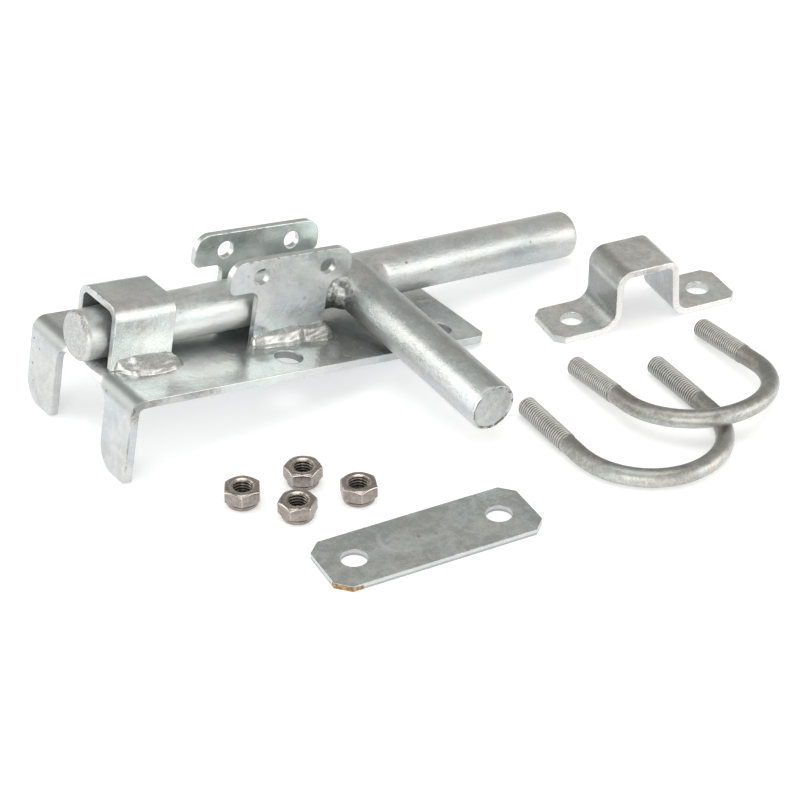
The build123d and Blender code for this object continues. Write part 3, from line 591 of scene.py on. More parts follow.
def wire_marks_and_painted_light(T):
    # the root of each thread is rougher and darkened as painted shade, and the shank carries dark ash beside the
    # thread's end
    for m in ("ubolt_lower_studs", "ubolt_upper_studs"):
        ud = -Vector(mount(m)["axis"]).normalized()
        o0 = Vector(mount(m)["pos_m"]) - ud * (10 * MM)
        uv = Vector((-ud.y, ud.x, 0)).normalized()
        un = ud.cross(uv)
        un = un if un.z > 0 else -un
        # painted light and shade: the upper inner side of the bar is darkened and the lower outer side lightened, and
        # the threads are darkened on their left
        rel = T.vmath("SUBTRACT", T.mm, mm(o0 + ud * (38.2 * MM)))
        t, h = T.dot(rel, uv), T.dot(rel, un)
        fwd = T.math("MAXIMUM", T.dot(rel, ud), 0.0)
        rd = T.math("SQRT", T.math("ADD", T.math("MULTIPLY", fwd, fwd), T.math("MULTIPLY", t, t)))
        mine = T.math("MULTIPLY", T.ramp(T.math("ABSOLUTE", T.math("SUBTRACT", rd, 30.0)), 4.0, 4.4, 1.0, 0.0), T.ramp(T.math("ABSOLUTE", h), 4.0, 4.4, 1.0, 0.0))
        q = T.math("SUBTRACT", T.math("MULTIPLY", T.math("SUBTRACT", rd, 30.0), 0.75), T.math("MULTIPLY", h, 0.66))
        body = T.math("MULTIPLY", mine, T.ramp(T.dot(rel, ud), -9.0, -7.5))
        T.color = T.mix(T.math("MULTIPLY", body, T.ramp(q, -1.8, 0.8, 1.0, 0.0)), T.color, (0.72, 0.72, 0.715), "MULTIPLY")
        T.color = T.mix(T.math("MULTIPLY", body, T.ramp(q, 0.6, 2.2)), T.color, (1.20, 1.20, 1.19), "MULTIPLY")
        for side in (-1, 1):
            p = T.math("ADD", T.math("MULTIPLY", T.math("SUBTRACT", t, side * 30.0), 0.8), T.math("MULTIPLY", h, 0.6))
            leg = T.math("MULTIPLY", T.math("MULTIPLY", mine, T.ramp(T.dot(rel, ud), -9.0, -7.5, 1.0, 0.0)), T.ramp(T.math("MULTIPLY", t, float(side)), 0.0, 1.0))
            T.color = T.mix(T.math("MULTIPLY", leg, T.ramp(p, -2.6, 0.4, 1.0, 0.0)), T.color, (0.62, 0.62, 0.61), "MULTIPLY")
            o = o0 + uv * (side * 30 * MM)
            u, rad = axial(T, o, ud)
            on = T.math("MULTIPLY", T.ramp(u, -1.0, 0.4), T.ramp(u, 29.0, 30.5, 1.0, 0.0))
            near = T.ramp(rad, 4.6, 5.2, 1.0, 0.0)
            root = T.ramp(rad, 3.40, 3.74, 1.0, 0.0)
            m1 = T.math("MULTIPLY", T.math("MULTIPLY", on, near), root)
            # painted highlight on the thread crests; painted shade in the thread roots
            crest = T.math("MULTIPLY", T.math("MULTIPLY", on, near), T.ramp(rad, 3.72, 3.92))
            T.color = T.mix(T.math("MULTIPLY", crest, 0.85), T.color, (0.58, 0.59, 0.57))
            dirt_and_painted_shade(T, m1, (0.15, 0.145, 0.13), 0.80, 0.6)
            ash = T.math("MULTIPLY", T.math("MULTIPLY", T.ramp(u, 29.5, 32.0), T.ramp(u, 40.0, 58.0, 1.0, 0.0)), T.ramp(rad, 9.0, 14.0, 1.0, 0.0))
            g = T.ramp(T.noise(0.9, 4.0, 0.7, 0.0, None, seed=61), 0.42, 0.60)
            dirt_and_painted_shade(T, T.math("MULTIPLY", ash, g), (0.24, 0.225, 0.19), 0.55, 0.6, 0.02)
        c = o0 + ud * (38.2 * MM)
        # a breath of rust low on the outside of the right bend
        low = T.segment(mm(c + (uv * math.cos(0.35) + ud * math.sin(0.35)) * 33.6 * MM - PU * 2.4 * MM), mm(c + (uv * math.cos(1.35) + ud * math.sin(1.35)) * 33.6 * MM - PU * 2.8 * MM), 4.2, 0.7, 0.6, 0.4)
        ring = T.ramp(T.vmath("DISTANCE", T.mm, mm(c), out=1), 32.6, 34.4)
        T.color = T.mix(T.math("MULTIPLY", T.math("MULTIPLY", low, ring), 0.7), T.color, (0.56, 0.43, 0.31))
        for ang, r in ((95, 2.6), (80, 1.8), (120, 1.6), (60, 1.6)):
            a = math.radians(ang)
            q = c + (uv * math.cos(a) + ud * math.sin(a)) * 30 * MM
            sp = T.spot(mm(q), r + 3.0, 0.8, 2.0, 0.5)
            dirt_and_painted_shade(T, T.math("MULTIPLY", sp, gate(T, 1.3, 0.58, 0.66, 62)), (0.12, 0.115, 0.10), 0.85, 0.7, 0.02)


def dot2(self, v):
    return self.vmath("DOT_PRODUCT", v, v, out=1)


Tree.dot2 = dot2


def assign(ob, *mats):
    ob.data.materials.clear()
    for m in mats:
        ob.data.materials.append(m)


M = {}
M["plate"] = galvanised("plate_zinc", seed=1, marks_and_painted_light=plate_marks_and_painted_light, rough=(0.19, 0.28), metal=0.86, cloud=1.2, fleck=0.7)
M["strap"] = galvanised("strap_zinc", seed=2, marks_and_painted_light=strap_marks_and_painted_light, cloud=1.1, fleck=0.4, grain=0.3, rough=(0.19, 0.29))
M["ear"] = galvanised("ear_zinc", seed=3, marks_and_painted_light=ear_marks_and_painted_light, rough=(0.16, 0.27), light=(0.645, 0.665, 0.66), fleck=0.8, crystal=0.05)
M["bar"] = galvanised("bar_zinc", seed=4, stretch=(BU, 0.6), marks_and_painted_light=bar_marks_and_painted_light, rough=(0.32, 0.44), grain=5.0, fleck=1.8, speck=0.45, metal=0.84, crystal=0.16)
M["handle"] = galvanised("handle_zinc", seed=5, stretch=(HD, 0.6), marks_and_painted_light=handle_marks_and_painted_light, rough=(0.30, 0.40), grain=8.0, fleck=2.0, speck=0.45, metal=0.84, crystal=0.27)
M["keeper"] = galvanised("keeper_zinc", seed=6, marks_and_painted_light=keeper_marks_and_painted_light, dark=(0.53, 0.54, 0.53), light=(0.70, 0.71, 0.70), rough=(0.24, 0.38), cloud=1.2)
M["backing"] = galvanised("backing_zinc", seed=7, marks_and_painted_light=backing_marks_and_painted_light, dark=(0.40, 0.42, 0.42), light=(0.54, 0.56, 0.557), rough=(0.22, 0.36), cloud=1.5)
M["wire"] = galvanised("wire_zinc", seed=8, dark=(0.29, 0.29, 0.272), light=(0.50, 0.50, 0.478), rough=(0.34, 0.44), grain=4.0, waves=0.0, marks_and_painted_light=wire_marks_and_painted_light, crystal=0.07, fleck=1.8)
M["edge"] = galvanised("edge_zinc", seed=9, dark=(0.52, 0.545, 0.545), light=(0.66, 0.69, 0.69), rough=(0.20, 0.32), grain=1.6, speck=0.5)


def weld_material(name, rough, deep):
    T = Tree(name)
    a = T.noise(0.30, 4.0, 0.55, 0.6, None, seed=1)
    b = T.noise(1.4, 4.0, 0.65, 0.3, None, seed=2)
    f = T.noise(3.0, 2.0, 0.6, 0.0, None, seed=4)
    tone = T.math("ADD", T.math("MULTIPLY", a, 0.45), T.math("ADD", T.math("MULTIPLY", b, 0.33), T.math("MULTIPLY", f, 0.22)))
    col = T.mix(T.ramp(tone, 0.38, 0.62), (0.455, 0.467, 0.461), (0.655, 0.667, 0.66))
    # the front ear's bead darker round its right end
    dark_right_end = T.segment(mm(at(93.5, -16, 1)), mm(at(105, -14, 1)), 8.0, 0.6, 1.5, 0.4)
    col = T.mix(T.math("MULTIPLY", dark_right_end, 0.6), col, (0.34, 0.345, 0.33))
    # painted shadow: dark mottled patches on the side of the collar towards the ears, their strength set by deep
    if deep:
        side = T.ramp(T.dot(T.vmath("SUBTRACT", T.mm, mm(HROOT)), HB), -9.0, -4.0, 1.0, 0.0)
        shade_mottle = T.ramp(T.noise(0.7, 3.0, 0.6, 0.4, None, seed=9), 0.38, 0.62)
        col = T.mix(T.math("MULTIPLY", T.math("MULTIPLY", side, shade_mottle), deep), col, (0.19, 0.205, 0.20))
    T.link(col, T.bsdf.inputs["Base Color"])
    T.bsdf.inputs["Metallic"].default_value = 0.88
    T.link(T.ramp(b, 0.35, 0.65, rough[0], rough[1]), T.bsdf.inputs["Roughness"])
    h = T.math("MULTIPLY", T.noise(0.30, 2.0, 0.5, 0.4, None, seed=3), 0.05)
    h = T.math("ADD", h, T.math("MULTIPLY", b, 0.006))
    T.link(T.bump(h, 0.001), T.bsdf.inputs["Normal"])
    return T.mat


M["weld"] = weld_material("weld_zinc", (0.24, 0.38), 0.0)
# the collar's last argument is the strength of its painted shadow
M["collar"] = weld_material("collar_zinc", (0.32, 0.46), 0.85)


def nut_material(i, c, yaw):
    """Bare steel, brownish; c is the middle of the nut's seat, in metres, yaw the bearing of one of its corners.
    The bore is darkened as painted shade, most at the thread roots, which are also rougher, and deep down; a dark line
    of painted shade runs in the groove above the collar; the top edges of the flanks, the corners and the countersink
    are lightened as painted highlights."""
    T = Tree(f"nut_steel_{i}")
    a = T.noise(0.5, 4.0, 0.6, 0.3, None, seed=1 + i)
    b = T.noise(1.5, 3.0, 0.6, 0.0, None, seed=2)
    tone = T.math("ADD", T.math("MULTIPLY", a, 0.6), T.math("MULTIPLY", b, 0.4))
    col = T.mix(T.ramp(tone, 0.38, 0.62), (0.262, 0.230, 0.207), (0.375, 0.336, 0.310))
    rel = T.vmath("MULTIPLY", T.vmath("SUBTRACT", T.mm, mm(c)), (1, 1, 0))
    rad = T.vmath("LENGTH", rel, out=1)
    z = height_of(T)
    flat = None
    for k in range(3):
        q = yaw + math.radians(30 + 60 * k)
        d = T.math("ABSOLUTE", T.dot(rel, (math.cos(q), math.sin(q), 0.0)))
        flat = d if flat is None else T.math("MAXIMUM", flat, d)
    # above the chamfer's lower edge
    e = T.math("ADD", T.math("SUBTRACT", z, 8.0), T.math("MULTIPLY", T.math("MAXIMUM", T.math("SUBTRACT", rad, 6.12), 0.0), 0.5774))
    # painted highlight along the upper edges of the flanks
    edge = T.math("MULTIPLY", T.ramp(e, -0.40, -0.16), T.ramp(flat, 6.22, 6.40))
    col = T.mix(T.math("MULTIPLY", edge, 0.85), col, (0.74, 0.69, 0.63))
    # painted highlight on the corners
    corner = T.math("MULTIPLY", T.ramp(rad, 7.22, 7.40), 0.45)
    col = T.mix(corner, col, (0.56, 0.51, 0.47))
    # painted shade in the bore, darkest at the thread roots and deep down
    inside = T.math("MULTIPLY", T.ramp(rad, 4.10, 4.25, 1.0, 0.0), T.ramp(z, 7.25, 7.55, 1.0, 0.0))
    col = T.mix(T.math("MULTIPLY", inside, 0.25), col, (0.12, 0.105, 0.09))
    root = T.math("MULTIPLY", inside, T.ramp(rad, 3.56, 3.84))
    col = T.mix(T.math("MULTIPLY", root, 0.95), col, (0.018, 0.016, 0.014))
    deep = T.math("MULTIPLY", inside, T.ramp(z, 3.2, 6.4, 1.0, 0.0))
    col = T.mix(T.math("MULTIPLY", deep, 0.75), col, (0.03, 0.027, 0.024))
    # painted highlight on the countersink
    sink = T.math("MULTIPLY", T.ramp(rad, 4.0, 4.2), T.ramp(rad, 4.55, 4.72, 1.0, 0.0))
    sink = T.math("MULTIPLY", sink, T.ramp(z, 7.2, 7.4))
    col = T.mix(T.math("MULTIPLY", sink, 0.5), col, (0.60, 0.56, 0.50))
    # painted shade: a dark line in the groove above the collar
    line = T.math("MULTIPLY", T.ramp(T.math("ABSOLUTE", T.math("SUBTRACT", z, 2.12)), 0.10, 0.34, 1.0, 0.0), T.ramp(rad, 5.2, 5.6))
    col = T.mix(T.math("MULTIPLY", line, 0.8), col, (0.10, 0.085, 0.07))
    T.link(col, T.bsdf.inputs["Base Color"])
    T.bsdf.inputs["Metallic"].default_value = 0.95
    r = T.ramp(b, 0.35, 0.65, 0.20, 0.32)
    T.link(T.math("ADD", r, T.math("MULTIPLY", root, 0.3)), T.bsdf.inputs["Roughness"])
    h = T.math("MULTIPLY", a, 0.05)
    h = T.math("ADD", h, T.math("MULTIPLY", b, 0.008))
    T.link(T.bump(h, 0.001), T.bsdf.inputs["Normal"])
    return T.mat


def nylon_material():
    T = Tree("nylon")
    a = T.noise(1.2, 3.0, 0.5, 0.0, None, seed=1)
    T.link(T.mix(T.ramp(a, 0.3, 0.7), (0.70, 0.69, 0.64), (0.80, 0.79, 0.75)), T.bsdf.inputs["Base Color"])
    T.link(T.ramp(a, 0.3, 0.7, 0.42, 0.58), T.bsdf.inputs["Roughness"])
    T.link(T.bump(T.math("MULTIPLY", a, 0.02), 0.001), T.bsdf.inputs["Normal"])
    return T.mat


M["nylon"] = nylon_material()

# ----------------------------------------------------------------- plates, guide, ears, keeper, strap
SKINS = {
    "base_plate": ("frame", "plate", "plate_zinc", 0.5),
    "guide_strap": ("frame", "strap", "strap_zinc", 0.42),
    "front_ear": ("frame", "ear", "strap_zinc", 0.4),
    "rear_ear": ("frame", "ear", "strap_zinc", 0.4),
    "keeper": ("keeper", "keeper", "keeper_zinc", 0.42),
    "backing_strap": ("backing_strap", "backing", "backing_zinc", 0.3),
}
for node, (body, mat, slot, width) in SKINS.items():
    ob = soften(node, width)
    assign(ob, M[mat], M["edge"])
    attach(ob, body)
    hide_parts(node)


# ----------------------------------------------------------------- round bars
def revolve(name, origin, d, e1, e2, profile, seg=96, wobble=0.05, rim=None):
    """profile: (u, r) in mm from the axis start to its end."""
    verts, faces = [], []
    for i, (u, r) in enumerate(profile):
        for j in range(seg):
            a = 2 * math.pi * j / seg
            rr, uu = r, u
            if wobble and r > 0.5:
                q = (u * 0.08, math.cos(a) * 1.6, math.sin(a) * 1.6)
                rr += wobble * fbm(q, 1.0, 3, 3.0)
            if rim:
                rr, uu = rim(i, uu, rr, a)
            p = origin + d * (uu * MM) + e1 * (rr * math.cos(a) * MM) + e2 * (rr * math.sin(a) * MM)
            verts.append(p)
    n = len(profile)
    faces = grid_faces(n, seg, close_v=True)
    for k in (0, n - 1):
        if profile[k][1] > 1e-6:
            faces.append(tuple(k * seg + j for j in range(seg)))
    return make(name, verts, faces, 30.0)


def disc_rows(r0, steps):
    return [r0 * (1 - k / steps) for k in range(steps)]


def spans(a, b, n):
    return [a + (b - a) * k / n for k in range(n + 1)]


LEFT = BEND - BU * (238.8 * MM)
prof = [(0.02 * k, r) for k, r in enumerate([0.05, 3.0, 6.0, 7.6])]
prof = [(0.0, 0.05), (0.0, 3.0), (0.0, 6.0), (0.02, 7.6), (0.06, 8.3), (0.3, 8.75), (0.75, 9.25), (1.25, 9.65), (1.9, 9.86), (2.8, 9.9)]
prof += [(u, 9.9) for u in spans(5.0, 233.0, 76)]
for k in range(1, 10):
    a = k / 9 * math.pi / 2
    prof.append((235.6 + 3.0 * math.sin(a), 6.9 + 3.0 * math.cos(a)))
prof += [(238.68, 6.2), (238.72, 4.5), (238.76, 2.5), (238.78, 0.05)]


def bolt_rim(i, u, r, a):
    if 2 <= i <= 8:
        k = fbm((math.cos(a) * 3.0, math.sin(a) * 3.0, 0.3), 1.0, 4, 7.0)
        r += 0.30 * k * (1 if i in (3, 4, 5, 6) else 0.5)
        u = max(0.0, u + 0.18 * fbm((math.cos(a) * 5.0, math.sin(a) * 5.0, 2.3), 1.0, 3, 9.0))
    return min(r, 9.93), u


bolt = revolve("bolt_bar", LEFT, BU, YAXIS, BW, prof, 96, 0.05, bolt_rim)
assign(bolt, M["bar"])
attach(bolt, "bolt")
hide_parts("bolt_rod")

# handle: its near end is coped to the bolt, its far end is a cut face inside a raised rim
seg = 96
verts, rows = [], []
hprof = [(u, 9.9) for u in spans(11.0, 95.0, 36)] + [(96.0, 9.9), (96.7, 9.86), (97.2, 9.72), (97.55, 9.5), (97.75, 9.2), (97.72, 8.9), (97.5, 8.6), (97.38, 8.2), (97.36, 7.0), (97.4, 4.5), (97.42, 2.0), (97.42, 0.05)]
start = []
for j in range(seg):
    a = 2 * math.pi * j / seg
    s = 9.9 * math.sin(a)
    start.append(math.sqrt(max(0.0, 9.96 ** 2 - s * s)))
for i in range(-3, len(hprof)):
    for j in range(seg):
        a = 2 * math.pi * j / seg
        if i < 0:
            t = (i + 3) / 3.0
            u, r = start[j] * (1 - t) + 11.0 * t, 9.9
        else:
            u, r = hprof[i]
        q = (u * 0.08, math.cos(a) * 1.6, math.sin(a) * 1.6)
        if r > 1.0:
            r += 0.05 * fbm(q, 1.0, 3, 5.0)
        if i >= 37:
            w = fbm((math.cos(a) * 4.0, math.sin(a) * 4.0, 1.0), 1.0, 4, 11.0)
            w2 = fbm((math.cos(a) * 9.0, math.sin(a) * 9.0, 4.0), 1.0, 3, 12.0)
            if r > 8.0:
                r = min(9.93, r + 0.22 * w)
                u = min(97.97, u + 0.20 * w + 0.16 * w2)
        verts.append(HROOT + HD * (u * MM) + HB * (r * math.cos(a) * MM) + HN * (r * math.sin(a) * MM))
handle = make("handle_bar", verts, grid_faces(len(hprof) + 3, seg, close_v=True) + [tuple((len(hprof) + 2) * seg + j for j in range(seg))], 30.0)
assign(handle, M["handle"])
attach(handle, "handle")
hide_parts("handle_rod")

# ----------------------------------------------------------------- weld beads
def curve(table, x):
    """Smooth interpolation through (x, v) pairs."""
    if x <= table[0][0]:
        return table[0][1]
    for k in range(len(table) - 1):
        (x0, v0), (x1, v1) = table[k], table[k + 1]
        if x <= x1:
            m0 = (v1 - table[k - 1][1]) / (x1 - table[k - 1][0]) if k > 0 else (v1 - v0) / (x1 - x0)
            m1 = (table[k + 2][1] - v0) / (table[k + 2][0] - x0) if k + 2 < len(table) else (v1 - v0) / (x1 - x0)
            t = (x - x0) / (x1 - x0)
            d = x1 - x0
            return ((2 * t ** 3 - 3 * t * t + 1) * v0 + (t ** 3 - 2 * t * t + t) * d * m0
                    + (-2 * t ** 3 + 3 * t * t) * v1 + (t ** 3 - t * t) * d * m1)
    return table[-1][1]


def fillet_bead(name, node, x0, x1, wall, out, height, toe, bulge, rough, seed, turn=0.0, step=0.33, nv=22):
    """A fillet weld between an upright plate's face and the base plate. out is the way it spreads, +1 or -1 along y;
    past x1 the bead turns the corner and runs on for turn mm round the plate's end. height, toe and bulge are
    tables over the running length, rough the same for the lumps left by the rod."""
    rad = 2.2
    verts, nu = [], 0
    total = (x1 - x0) + turn
    n = int(total / step)
    for i in range(n + 1):
        run = total * i / n
        x = x0 + run
        if x <= x1:
            wx, wy, ang = x, wall, 0.0
        else:
            q = x - x1
            ang = min(90.0, q / max(turn * 0.55, 0.01) * 90.0)
            wx, wy = x1, wall - out * max(0.0, q - turn * 0.55)
        a0 = math.radians(ang)
        ox, oy = math.sin(a0), out * math.cos(a0)
        h = curve(height, x) + 0.16 * fbm((x * 0.5, 0, 0), 1.0, 3, seed)
        w = curve(toe, x) + 0.22 * fbm((x * 0.45, 5, 0), 1.0, 3, seed + 1)
        near = min(run, total - run)
        long = 1.8 if run < total - run else 5.0
        end = math.sqrt(max(0.0, 1.0 - (1.0 - min(1.0, near / long)) ** 2))
        h *= max(0.04, end)
        w *= max(0.04, end)
        bg = curve(bulge, x) * end
        ro = curve(rough, x) * end
        for j in range(nv):
            t = j / (nv - 1)
            y = w * t
            z = h * (1 - t)
            # a flat face between a rounded shoulder and a rolled toe
            k = bg * smooth(0.0, 0.34, t) * smooth(0.0, 0.30, 1 - t)
            mid = smooth(0.0, 0.15, t) * smooth(0.0, 0.12, 1 - t)
            k += mid * ro * (0.62 * fbm((x * 0.15 + t * 0.9, t * 2.6, 3.0), 1.0, 2, seed + 2) + 0.07 * fbm((x * 0.40, t * 6.0, 1.0), 1.0, 2, seed + 5))
            ln = math.hypot(h, w) or 1.0
            y += k * h / ln
            z += k * w / ln
            if j == 0:
                y = -0.35
            if j == nv - 1:
                z = -0.35
            verts.append(at(wx + ox * y, wy + oy * y, z))
        nu += 1
    b = nu * nv
    for i in range(nu):
        run = total * i / n
        x = x0 + run
        if x <= x1:
            verts.append(at(x, wall - out * 0.35, -0.35))
        else:
            verts.append(at(x1 - 0.35, wall - out * (0.35 + max(0.0, x - x1 - turn * 0.55)), -0.35))
    faces = grid_faces(nu, nv)
    for i in range(nu - 1):
        faces.append((i * nv, (i + 1) * nv, b + i + 1, b + i))
        faces.append((i * nv + nv - 1, b + i, b + i + 1, (i + 1) * nv + nv - 1))
    faces.append(tuple([b] + [j for j in range(nv)]))
    faces.append(tuple([b + nu - 1] + [(nu - 1) * nv + j for j in range(nv)][::-1]))
    ob = make(name, verts, faces, 62.0)
    assign(ob, M["weld"])
    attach(ob, "frame")
    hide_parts(node)
    return ob


EAR_F, EAR_R, GUI_F, GUI_R = -13.7, 14.9, -13.5, 13.7
fillet_bead("ear_bead_front", "ear_weld_front", 66.6, 100.6, EAR_F, -1,
            [(66.6, 3.9), (67.8, 4.4), (71.9, 5.4), (76.8, 5.5), (81.7, 5.9), (86.5, 6.2), (89.6, 5.8), (92.0, 5.3), (95.5, 5.0), (98.5, 5.2), (101.4, 5.4), (105.0, 4.0)],
            [(66.6, 1.6), (69.5, 2.6), (72.8, 3.7), (77.7, 3.9), (81.7, 4.7), (86.7, 4.7), (90.0, 4.2), (92.5, 4.4), (96.0, 5.2), (100.0, 5.6), (102.5, 4.6), (105.5, 3.4)],
            [(66.6, 0.4), (72.0, 0.6), (85.0, 0.8), (89.0, 0.6), (90.6, 0.35), (92.5, 0.6), (97.0, 0.9), (101.0, 0.8), (106.0, 0.5)],
            [(66.6, 0.4), (75.0, 0.6), (86.0, 0.6), (89.5, 0.8), (93.0, 1.3), (98.0, 1.3), (106.0, 0.8)], 3.0, turn=5.5)
fillet_bead("ear_bead_rear", "ear_weld_rear", 66.8, 101.2, EAR_R, 1,
            [(66.8, 4.0), (75.0, 4.9), (84.0, 4.4), (93.0, 5.0), (101.2, 4.2)],
            [(66.8, 2.6), (74.0, 4.2), (84.0, 4.8), (92.0, 4.2), (101.2, 3.2)],
            [(66.8, 0.4), (84.0, 0.7), (101.2, 0.5)], [(66.8, 0.8), (101.2, 1.0)], 8.0)
fillet_bead("guide_bead_front", "guide_weld_front", 6.2, 31.0, GUI_F, -1,
            [(6.2, 4.4), (8.0, 5.0), (10.7, 4.8), (14.0, 5.4), (17.6, 5.3), (21.6, 5.2), (25.6, 4.8), (28.2, 4.8), (30.2, 4.2), (35.0, 3.0)],
            [(6.2, 1.0), (7.7, 1.9), (10.1, 4.4), (12.5, 6.0), (15.0, 6.9), (18.0, 7.4), (21.3, 7.6), (25.5, 7.3), (29.7, 6.6), (32.0, 5.4), (36.0, 4.0)],
            [(6.2, 0.5), (12.0, 0.5), (18.0, 0.6), (26.0, 0.6), (31.0, 0.5), (36.0, 0.4)],
            [(6.2, 0.25), (12.0, 0.5), (20.0, 0.9), (27.0, 1.1), (36.0, 0.8)], 13.0, turn=5.5)
fillet_bead("guide_bead_rear", "guide_weld_rear", 5.6, 31.0, GUI_R, 1,
            [(5.6, 3.6), (14.0, 4.6), (24.0, 4.2), (31.0, 3.6)], [(5.6, 2.4), (13.0, 4.4), (24.0, 4.6), (31.0, 3.0)],
            [(5.6, 0.4), (18.0, 0.6), (31.0, 0.5)], [(5.6, 0.8), (31.0, 0.9)], 17.0)

# weld round the handle's root: a collar on the saddle, a low fillet to the right and above, a run of bead
# laid along the bolt towards the ears on the upper left
nu, nv = 180, 24
verts = []
for i in range(nu):
    a = 2 * math.pi * i / nu
    s = 9.9 * math.sin(a)
    us = math.sqrt(max(0.0, 9.9 ** 2 - s * s))
    side = 0.5 - 0.5 * math.cos(a)                 # 0 towards the bolt's right end, 1 towards the ears
    left = smooth(0.42, 0.80, side)
    off = (math.degrees(a) - 170.0 + 180.0) % 360.0 - 180.0
    tongue = 1.0 - smooth(9.0, 27.0, abs(off))     # the run of bead along the bolt
    n1 = fbm((math.cos(a) * 2.2, math.sin(a) * 2.2, 0), 1.0, 3, 21.0)
    reach_l = 3.1 + 4.0 * tongue + 0.35 * n1
    up_l = 2.9 + 0.3 * n1
    reach_r = 4.3 + 0.35 * n1
    up_r = 3.4 + 0.4 * n1
    dmax = 9.75 / max(1e-6, abs(math.sin(a))) - 9.9
    fit = smooth(0.0, 1.0, min(1.0, max(0.0, dmax / 4.5)))
    for j in range(nv):
        t = j / (nv - 1)
        # left: a full bead, then a thin tail; right: a hollow fillet
        dl = reach_l * t
        hl = up_l * (1 - smooth(0.0, 3.1, dl)) ** 0.9
        hl += (0.62 - 0.18 * smooth(3.0, 7.0, dl)) * smooth(0.0, 2.2, dl) * smooth(0.0, 1.6, reach_l - dl) * tongue
        hl *= 1.0 + 0.12 * fbm((math.cos(a) * 1.6, math.sin(a) * 1.6, dl * 0.5), 1.0, 2, 29.0)
        dr = reach_r * t
        hr = up_r * (1 - t) ** 1.9
        d = dr * (1 - left) + dl * left
        h = hr * (1 - left) + hl * left
        lim = max(0.12, dmax)
        d *= min(1.0, lim / max(reach_r * (1 - left) + reach_l * left, 1e-6)) if lim < 8.0 else 1.0
        h *= 0.28 + 0.72 * fit
        h += 0.10 * math.sin(math.pi * t) * fbm((math.cos(a) * 5, math.sin(a) * 5, t * 3), 1.0, 3, 23.0)
        r = 9.9 + d
        sr = r * math.sin(a)
        foot = math.sqrt(max(0.0, 9.93 ** 2 - sr * sr))
        u = foot + max(h, 0.0)
        if j == 0:
            r = 9.9 - 0.25
            u = max(us, foot) + h - 0.05
        if j == nv - 1:
            u = foot - 0.15
        verts.append(HROOT + HD * (u * MM) + HB * (r * math.cos(a) * MM) + HN * (r * math.sin(a) * MM))
collar = make("handle_bead", verts, grid_faces(nu, nv, close_u=True), 60.0)
assign(collar, M["collar"])
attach(collar, "handle")
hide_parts("handle_weld")


# ----------------------------------------------------------------- U-bolts with rolled threads
def thread_r(x, theta, major, minor, pitch=1.25):
    p = (x / pitch - theta / (2 * math.pi)) % 1.0
    t = abs(p - 0.5) * 2.0                 # 0 in the groove, 1 at the crest
    return minor + (major - minor) * min(1.0, max(0.0, (t - 0.06) / 0.74))


def ubolt(name, mount_name, body, node, seed):
    m = mount(mount_name)
    ud = -Vector(m["axis"]).normalized()
    o0 = Vector(m["pos_m"]) - ud * (10 * MM)
    uv = Vector((-ud.y, ud.x, 0)).normalized()
    un = ud.cross(uv).normalized()
    half, leg, seg = 30.0, 38.2, 40
    path = []                                     # (point, tangent, inward radial, kind, distance along the leg)
    rings = []
    dp = 1.25 / 10
    n_thread = int(29.0 / dp)
    xs = [k * dp for k in range(n_thread + 1)]
    extra = [29.0 + 0.25 * k for k in range(1, 9)] + [32.5, 34.5, 36.5, 38.2]
    legx = xs + extra

    def leg_ring(x, side):
        c = o0 + uv * (side * half * MM) + ud * (x * MM)
        return c

    verts = []

    def radius(x, th, side):
        base = 3.64
        cham = smooth(0.0, 0.9, x)
        if x <= 29.0:
            major = 3.98 - (1 - cham) * 0.85
            minor = 3.34 - (1 - cham) * 0.30
            r = thread_r(x, th * side, major, minor)
            r = min(r, 3.15 + x * 0.95)
        else:
            major, minor = 3.98, 3.34
            k = smooth(29.0, 31.2, x)
            r = thread_r(x, th * side, major, minor) * (1 - k) + base * k
        return r

    def emit(c, e1, e2, x, side, arc=0.0):
        for j in range(seg):
            th = 2 * math.pi * j / seg
            r = radius(x, th, side) if x is not None else 3.64
            r += 0.035 * fbm((c.x * 60 + math.cos(th), c.y * 60 + math.sin(th), c.z * 60), 1.0, 3, seed)
            verts.append(c + e1 * (r * math.cos(th) * MM) + e2 * (r * math.sin(th) * MM))

    def cap(c, e1, e2):
        for j in range(seg):
            th = 2 * math.pi * j / seg
            verts.append(c + e1 * (0.05 * math.cos(th) * MM) + e2 * (0.05 * math.sin(th) * MM))

    side = 1
    cap(leg_ring(0.0, 1), uv, un)
    for j in range(seg):
        th = 2 * math.pi * j / seg
        verts.append(leg_ring(0.0, 1) + uv * (1.9 * math.cos(th) * MM) + un * (1.9 * math.sin(th) * MM))
    for x in legx:
        emit(leg_ring(x, 1), uv, un, x, 1)
    na = 56
    centre = o0 + ud * (leg * MM)
    for k in range(1, na):
        a = math.pi * k / na
        rad = uv * math.cos(a) + ud * math.sin(a)
        c = centre + rad * (half * MM)
        emit(c, rad, un, None, 0)
    for x in reversed(legx):
        c = leg_ring(x, -1)
        emit(c, -uv, un, x, -1)
    for j in range(seg):
        th = 2 * math.pi * j / seg
        verts.append(leg_ring(0.0, -1) - uv * (1.9 * math.cos(th) * MM) + un * (1.9 * math.sin(th) * MM))
    cap(leg_ring(0.0, -1), -uv, un)
    rows = len(verts) // seg
    faces = grid_faces(rows, seg, close_v=True)
    ob = make(name, verts, faces, 55.0)
    assign(ob, M["wire"])
    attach(ob, body)
    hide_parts(node)
    return ob


ubolt("ubolt_lower_wire", "ubolt_lower_studs", "ubolt_lower", "ubolt_lower", 31.0)
ubolt("ubolt_upper_wire", "ubolt_upper_studs", "ubolt_upper", "ubolt_upper", 37.0)


